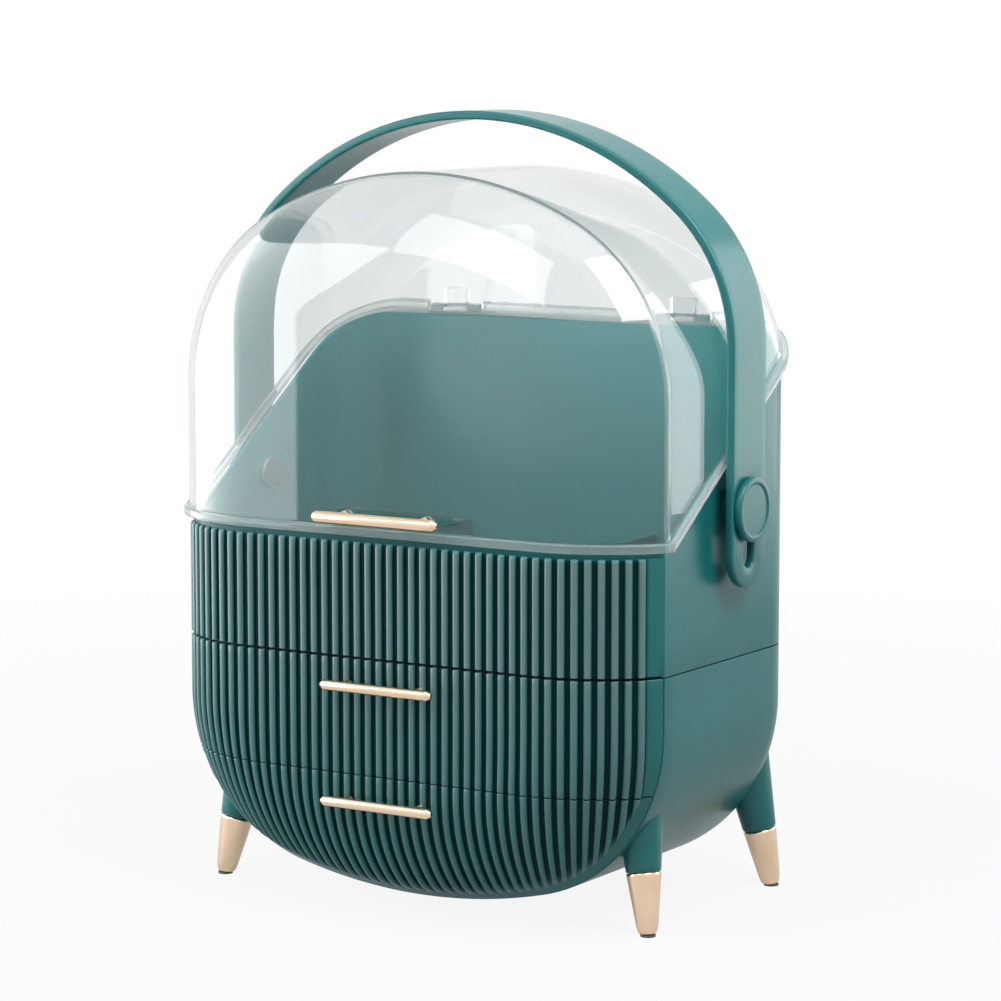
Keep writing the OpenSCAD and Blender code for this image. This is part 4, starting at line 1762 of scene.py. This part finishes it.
@dataclass
class Bow(Part):
    """The handle: a flat band bent into an arch, with a slot in either arm.

    Attributes:
        band: its width.
        thick: its thickness.
        middle_y: the plane of its middle.
        end_z: height of the arms' lower ends.
        slot_r: half the slot's width.
        slot_low: height of the centre of the slot's lower end.
        slot_high: height of the centre of its upper end.
        soften: how far the edges are rounded.
        arm_end: how far up from its tip an arm's slotted end reaches.
        around: steps around the end's outline.
        steps: steps along the arch.
    """

    band: float = 34.0
    thick: float = 4.5
    middle_y: float = 12.05
    end_z: float = 169.1
    slot_r: float = 5.1
    slot_low: float = 184.2
    slot_high: float = 208.5
    soften: float = 1.2
    arm_end: float = 62.0
    around: int = 58
    steps: int = 110

    @property
    def centre(self) -> float:
        """How far up from the arm's tip the middle of the slot is."""
        return (self.slot_low + self.slot_high) / 2 - self.end_z

    def on_arm(self, u: float, w: float) -> bool:
        """Whether a point is on the arm's end.

        Args:
            u: how far up it is from the arm's tip.
            w: how far it is across.

        Returns:
            True where it is.
        """
        r = self.band / 2
        if u > self.arm_end or abs(w) > r:
            return False
        return u >= r or (u - r) ** 2 + w * w <= r * r

    def in_slot(self, u: float, w: float) -> bool:
        """Whether a point is in the slot.

        Args:
            u: how far up it is from the arm's tip.
            w: how far it is across.

        Returns:
            True where it is.
        """
        low, high = self.slot_low - self.end_z, self.slot_high - self.end_z
        over = max(low - u, u - high, 0.0)
        return over * over + w * w <= self.slot_r**2

    def cast(self, angle: float, inside: Callable[[float, float], bool]) -> Pair:
        """Where a ray from the middle of the slot leaves a form.

        Args:
            angle: its direction, from straight up the arm.
            inside: whether a point is in the form.

        Returns:
            How far up the arm and how far across.
        """
        near, far = 0.0, 80.0
        for _ in range(40):
            middle = (near + far) / 2
            if inside(self.centre + middle * math.cos(angle), middle * math.sin(angle)):
                near = middle
            else:
                far = middle
        return self.centre + near * math.cos(angle), near * math.sin(angle)

    def bend(self, u: float, w: float, h: float) -> Point:
        """Takes a point of the flat band to the arch.

        Args:
            u: distance from the right arm's tip along the outside.
            w: distance across the band from its middle.
            h: height above the outside, so minus the thickness inside.

        Returns:
            The point.
        """
        half = BOW.length_to(0.0, self.end_z)
        spot = BOW.along(0.0, abs(half - u))
        side = 1.0 if u <= half else -1.0
        return side * (spot.x + spot.out_x * h), self.middle_y + w, spot.z + spot.out_z * h

    def build(self) -> None:
        """Makes the handle."""
        half, limit = BOW.length_to(0.0, self.end_z), self.arm_end
        across = [-17.0, -12.0, -6.0, 0.0, 6.0, 12.0, 17.0]
        angles = [math.atan2(w, limit - self.centre) for w in across]
        first, sweep = angles[-1], 2 * math.pi - 2 * angles[-1]
        rest = [first + sweep * i / self.around for i in range(1, self.around)]
        outer = [(limit, w) for w in across] + [self.cast(a, self.on_arm) for a in rest]
        inner = [self.cast(angle, self.in_slot) for angle in angles + rest]
        reach = 2 * half - 2 * limit
        stations = [limit + reach * i / self.steps for i in range(self.steps + 1)]
        work = bmesh.new()

        def add(points: Iterable[Pair]) -> list[bmesh.types.BMVert]:
            """Adds points of the flat band."""
            return [work.verts.new((u * MM, w * MM, 0.0)) for u, w in points]

        ends = []
        for mirrored in (False, True):
            turn = (lambda p: (2 * half - p[0], p[1])) if mirrored else (lambda p: p)
            ring, hole = add(map(turn, outer)), add(map(turn, inner))
            for i in range(len(ring)):
                j = (i + 1) % len(ring)
                work.faces.new((ring[i], ring[j], hole[j], hole[i]))
            ends.append(ring[: len(across)])
        rows = [ends[0]]
        rows += [add((u, w) for w in across) for u in stations[1:-1]]
        rows.append(ends[1])
        for low, high in zip(rows, rows[1:]):
            for i in range(len(across) - 1):
                work.faces.new((low[i], low[i + 1], high[i + 1], high[i]))
        bmesh.ops.recalc_face_normals(work, faces=work.faces)
        if work.faces[0].normal.z < 0:
            bmesh.ops.reverse_faces(work, faces=work.faces)
        made = bmesh.ops.extrude_face_region(work, geom=list(work.faces))
        lower = [v for v in made["geom"] if isinstance(v, bmesh.types.BMVert)]
        bmesh.ops.translate(work, verts=lower, vec=(0.0, 0.0, -self.thick * MM))
        bmesh.ops.recalc_face_normals(work, faces=work.faces)
        corners = [
            e
            for e in work.edges
            if len(e.link_faces) == 2 and e.calc_face_angle(0.0) > math.radians(60)
        ]
        bmesh.ops.bevel(
            work, geom=corners, offset=self.soften * MM, segments=4, profile=0.5,
            affect="EDGES", clamp_overlap=True,
        )
        for vert in work.verts:
            u, w, h = (c / MM for c in vert.co)
            vert.co = [c * MM for c in self.bend(u, w, h)]
        bmesh.ops.recalc_face_normals(work, faces=work.faces)
        mesh = bpy.data.meshes.new("bow_handle")
        work.to_mesh(mesh)
        work.free()
        mesh.shade_smooth()
        mesh.set_sharp_from_angle(angle=math.radians(40.0))
        self.add("bow_handle", mesh, SHELL, "handle", "shell_green", "handle_bow")


@dataclass
class Turned(Part):
    """A round piece turned about a level axis along X or Y, or several of them in one piece.

    Attributes:
        name: the piece's name.
        finish: what it is made of.
        sides: points around.
        surface: what its forms are collected in.
    """

    name: str
    finish: Finish
    sides: int = 64
    surface: Surface = field(default_factory=Surface)

    def circle(self, radius: float) -> list[Pair]:
        """Points around an axis."""
        angles = [2 * math.pi * i / self.sides for i in range(self.sides)]
        return [(radius * math.cos(angle), radius * math.sin(angle)) for angle in angles]

    def along_x(self, profile: Sequence[Pair], y: float, z: float) -> None:
        """Adds a form whose profile gives x and radius."""
        rows = [[(x, y + a, z + b) for a, b in self.circle(r)] for x, r in profile]
        self.surface.skin(rows, closed=True)

    def along_y(self, profile: Sequence[Pair], x: float, z: float) -> None:
        """Adds a form whose profile gives y and radius."""
        rows = [[(x + a, y, z + b) for a, b in self.circle(r)] for y, r in profile]
        self.surface.skin(rows, closed=True)

    def build(self, body: str, slot: str, *nodes: str) -> None:
        """Makes the piece."""
        mesh = self.surface.mesh(self.name, 30.0)
        self.add(self.name, mesh, self.finish, body, slot, *nodes)


@dataclass
class Pull(Part):
    """A rose-gold rod with chamfered ends on two posts.

    Attributes:
        name: the piece's name.
        node: the CAD node that it stands for.
        body: what it moves with.
        length: the rod's length.
        thick: its thickness.
        z: its height.
        post_x: the posts' distance from the middle.
        seat_y: where the posts meet the surface.
        gap: gap between the rod and the front.
        post_r: the posts' radius.
        taper: length of the rod's chamfered ends.
        end_r: radius of their flat ends.
    """

    name: str
    node: str
    body: str
    length: float
    thick: float
    z: float
    post_x: float
    seat_y: float
    gap: float = 6.4
    post_r: float = 2.4
    taper: float = 2.6
    end_r: float = 1.2

    def build(self) -> None:
        """Makes the pull."""
        turned = Turned(self.name, GOLD)
        r, half = self.thick / 2, self.length / 2
        y = SECTION.front_y - self.gap - r
        start = half - self.taper
        right = [
            (start - 0.5, r),
            (start + 0.05, r - 0.04),
            (start + 0.35, r - 0.2),
            (half - 0.35, self.end_r + 0.24),
            (half - 0.08, self.end_r - 0.05),
            (half, self.end_r - 0.35),
            (half, 0.0),
        ]
        turned.along_x([(-x, q) for x, q in reversed(right)] + right, y, self.z)
        post = [
            (y, 0.0),
            (y, self.post_r),
            (self.seat_y - 0.7, self.post_r),
            (self.seat_y - 0.2, self.post_r + 0.25),
            (self.seat_y, self.post_r + 0.3),
            (self.seat_y, 0.0),
        ]
        for side in (-1, 1):
            turned.along_y(post, side * self.post_x, self.z)
        turned.build(self.body, "rose_gold", self.node)


@dataclass
class Knob(Part):
    """A round knob with a raised ring, over a pivot stud.

    Attributes:
        side: -1 on the left, 1 on the right.
        inner: distance of its inner face from the middle.
        thick: its thickness.
        radius: its radius.
        ring: width of the raised ring.
        sink: how far its middle is sunk.
        y: its axis' y.
        z: its axis' height.
    """

    side: int
    inner: float = 153.9
    thick: float = 3.5
    radius: float = 16.3
    ring: float = 3.5
    sink: float = 0.8
    y: float = 12.05
    z: float = 208.5

    def build(self) -> None:
        """Makes the knob."""
        word = "left" if self.side < 0 else "right"
        outer, r = self.inner + self.thick, self.radius
        face = outer - self.sink
        profile = [
            (self.inner, 0.0),
            (self.inner, r - 0.5),
            (self.inner + 0.15, r - 0.15),
            (self.inner + 0.5, r),
            (outer - 1.1, r),
            (outer - 0.75, r - 0.12),
            (outer - 0.3, r - 0.55),
            (outer - 0.06, r - 1.0),
            (outer, r - 1.4),
            (outer, r - self.ring + 0.9),
            (outer - 0.05, r - self.ring + 0.6),
            (outer - 0.25, r - self.ring + 0.35),
            (face + 0.15, r - self.ring + 0.05),
            (face, r - self.ring - 0.2),
            (face, 3.0),
            (face, 0.0),
        ]
        turned = Turned(f"knob_disc_{word}", SHELL, 96)
        turned.along_x([(self.side * x, q) for x, q in profile], self.y, self.z)
        turned.build("handle_pivot", "shell_green", f"pivot_knob_{word}")


@dataclass
class Carried:
    """CAD nodes that keep their shape and get soft edges and a finish.

    Attributes:
        finish: what they are made of.
        nodes: the nodes.
        bevel: how far an edge is rounded, in metres.
    """

    finish: Finish
    nodes: tuple[str, ...]
    bevel: float = 0.0003

    def build(self) -> None:
        """Dresses the nodes."""
        for name in self.nodes:
            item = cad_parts[name]
            item.data.materials.clear()
            item.data.materials.append(self.finish.material())
            weld = item.modifiers.new("Weld", "WELD")
            weld.merge_threshold = 1e-6
            bevel = item.modifiers.new("Bevel", "BEVEL")
            bevel.width = self.bevel
            bevel.segments = 2
            bevel.limit_method = "ANGLE"
            bevel.angle_limit = math.radians(45)
            bevel.use_clamp_overlap = True
            log.info("%s keeps its form", name)


# ---------------------------------------------------------------------------------------------
# Studio


def set_up(item: bpy.types.Object, place: Point, aim: Point) -> None:
    """Puts a lamp or the camera in its place.

    Args:
        item: the lamp or the camera.
        place: where it stands, in metres.
        aim: what it points at, in metres.
    """
    bpy.context.scene.collection.objects.link(item)
    item.location = place
    item.rotation_mode = "QUATERNION"
    item.rotation_quaternion = (Vector(aim) - Vector(place)).to_track_quat("-Z", "Y")


@dataclass(frozen=True)
class Lamp:
    """A soft box.

    Attributes:
        name: its name.
        place: where it is, in metres.
        aim: what it points at, in metres.
        width: its width in metres.
        height: its height in metres.
        power: its power in watts.
        tone: its colour.
    """

    name: str
    place: Point
    aim: Point
    width: float
    height: float
    power: float
    tone: Triple = (1.0, 1.0, 1.0)

    def build(self) -> None:
        """Sets the lamp up."""
        data = bpy.data.lights.new(self.name, "AREA")
        data.shape = "RECTANGLE"
        data.size, data.size_y = self.width, self.height
        data.energy = self.power
        data.color = self.tone
        lamp = bpy.data.objects.new(self.name, data)
        lamp.visible_camera = False
        set_up(lamp, self.place, self.aim)


@dataclass(frozen=True)
class Studio:
    """Camera, floor, backdrop light and lamps.

    Attributes:
        eye: the camera's place in metres.
        aim: what it looks at, in metres.
        lens: focal length over a 36 mm sensor.
        ambient: strength of the light from all around.
        lamps: the soft boxes.
    """

    eye: Point = (1.0018, -1.56785, 0.4408)
    aim: Point = (0.0103, 0.00705, 0.2037)
    lens: float = 130.36
    ambient: float = 0.18
    lamps: tuple[Lamp, ...] = (
        Lamp("left_soft", (-0.80, -0.33, 0.41), (0.0, 0.0, 0.41), 1.1, 0.8, 12.0),
        Lamp("front_soft", (-0.35, -1.1, 1.3), (0.0, 0.0, 0.2), 0.9, 0.9, 8.5),
        Lamp("right_soft", (0.70, 0.88, 0.47), (0.0, 0.0, 0.47), 0.8, 0.8, 5.0),
        Lamp("right_high", (0.55, -0.15, 0.85), (0.14, 0.0, 0.2), 0.45, 0.45, 7.5),
        Lamp("top_soft", (0.0, -0.1, 1.9), (0.0, 0.0, 0.2), 1.3, 1.3, 5.0),
    )

    def camera(self) -> None:
        """Sets the camera up."""
        data = bpy.data.cameras.new("camera")
        data.sensor_fit = "HORIZONTAL"
        data.sensor_width = 36.0
        data.lens = self.lens
        data.clip_start, data.clip_end = 0.01, 60.0
        camera = bpy.data.objects.new("camera", data)
        set_up(camera, self.eye, self.aim)
        bpy.context.scene.camera = camera

    def world(self) -> None:
        """Sets the light from all around, white where it is seen."""
        world = bpy.data.worlds.new("world")
        bpy.context.scene.world = world
        world.use_nodes = True
        paint = Paint(world.node_tree)
        seen = paint.ray("Is Camera Ray").most(paint.ray("Is Glossy Ray"))
        seen = seen.most(paint.ray("Is Transmission Ray"))
        dim = {"Color": (0.97, 0.98, 1.0, 1.0), "Strength": self.ambient}
        soft = paint.wire("ShaderNodeBackground", {}, dim)
        white = paint.wire("ShaderNodeBackground", {}, {"Color": WHITE, "Strength": 1.0})
        paint.finish(paint.blend(seen, soft, white), "ShaderNodeOutputWorld")

    def floor(self) -> None:
        """Lays the floor."""
        half = 14.0
        mesh = bpy.data.meshes.new("floor")
        corners = [(-half, -half, 0.0), (half, -half, 0.0), (half, half, 0.0), (-half, half, 0.0)]
        mesh.from_pydata(corners, [], [(0, 1, 2, 3)])
        floor = bpy.data.objects.new("floor", mesh)
        bpy.context.scene.collection.objects.link(floor)
        mesh.materials.append(Floor("floor_white").material())

    def build(self) -> None:
        """Sets everything up."""
        bpy.context.scene.view_settings.view_transform = "Standard"
        self.camera()
        self.world()
        self.floor()
        for lamp in self.lamps:
            lamp.build()
        log.info("studio with %d lamps", len(self.lamps))


# ---------------------------------------------------------------------------------------------
# The whole


def main() -> None:
    """Builds the studio and every piece."""
    logging.basicConfig(level=logging.INFO, format="%(message)s")
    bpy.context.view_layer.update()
    Studio().build()
    Cabinet().build()
    Tray().build()
    upper = ("front_upper", "drawer_front_upper", "drawer_upper")
    lower = ("front_lower", "drawer_front_lower", "drawer_lower")
    RibbedFront(*upper, low=72.7, high=131.5).build()
    RibbedFront(*lower, low=None, high=72.3).build()
    for side in (-1, 1):
        for row in (-1, 1):
            Leg(side, row).build()
        Knob(side).build()
    Hood().build()
    Bow().build()
    smooth, proud = SECTION.front_y, SECTION.front_y - RIBS.height
    rod = {"length": 67.0, "thick": 5.4, "post_x": 21.4, "seat_y": proud}
    Pull(
        "pull_hood", "hood_pull", "hood",
        length=75.0, thick=6.2, z=203.5, post_x=24.0, seat_y=smooth,
    ).build()
    Pull("pull_upper", "drawer_pull_upper", "drawer_upper", z=118.5, **rod).build()
    Pull("pull_lower", "drawer_pull_lower", "drawer_lower", z=59.1, **rod).build()
    Carried(
        INNER,
        (
            "drawer_shelf", "tray_divider_long", "tray_divider_cross", "drawer_box_upper",
            "drawer_box_lower", "pivot_bushes",
        ),
    ).build()
    Carried(
        STEEL,
        (
            "leg_screws", "tray_screws", "hinge_pins", "pull_screws_upper", "pull_screws_lower",
            "hood_pull_screws", "pivot_stud_left", "pivot_stud_right",
        ),
        0.00015,
    ).build()
    Carried(SHELL, ("hinge_brackets",)).build()
    Carried(CLEAR, ("hood_hinge_lugs",)).build()
    Carried(PAD, ("foot_pads",)).build()
    log.info("%d pieces made", len(Part.made))


if __name__ == "__main__":
    main()
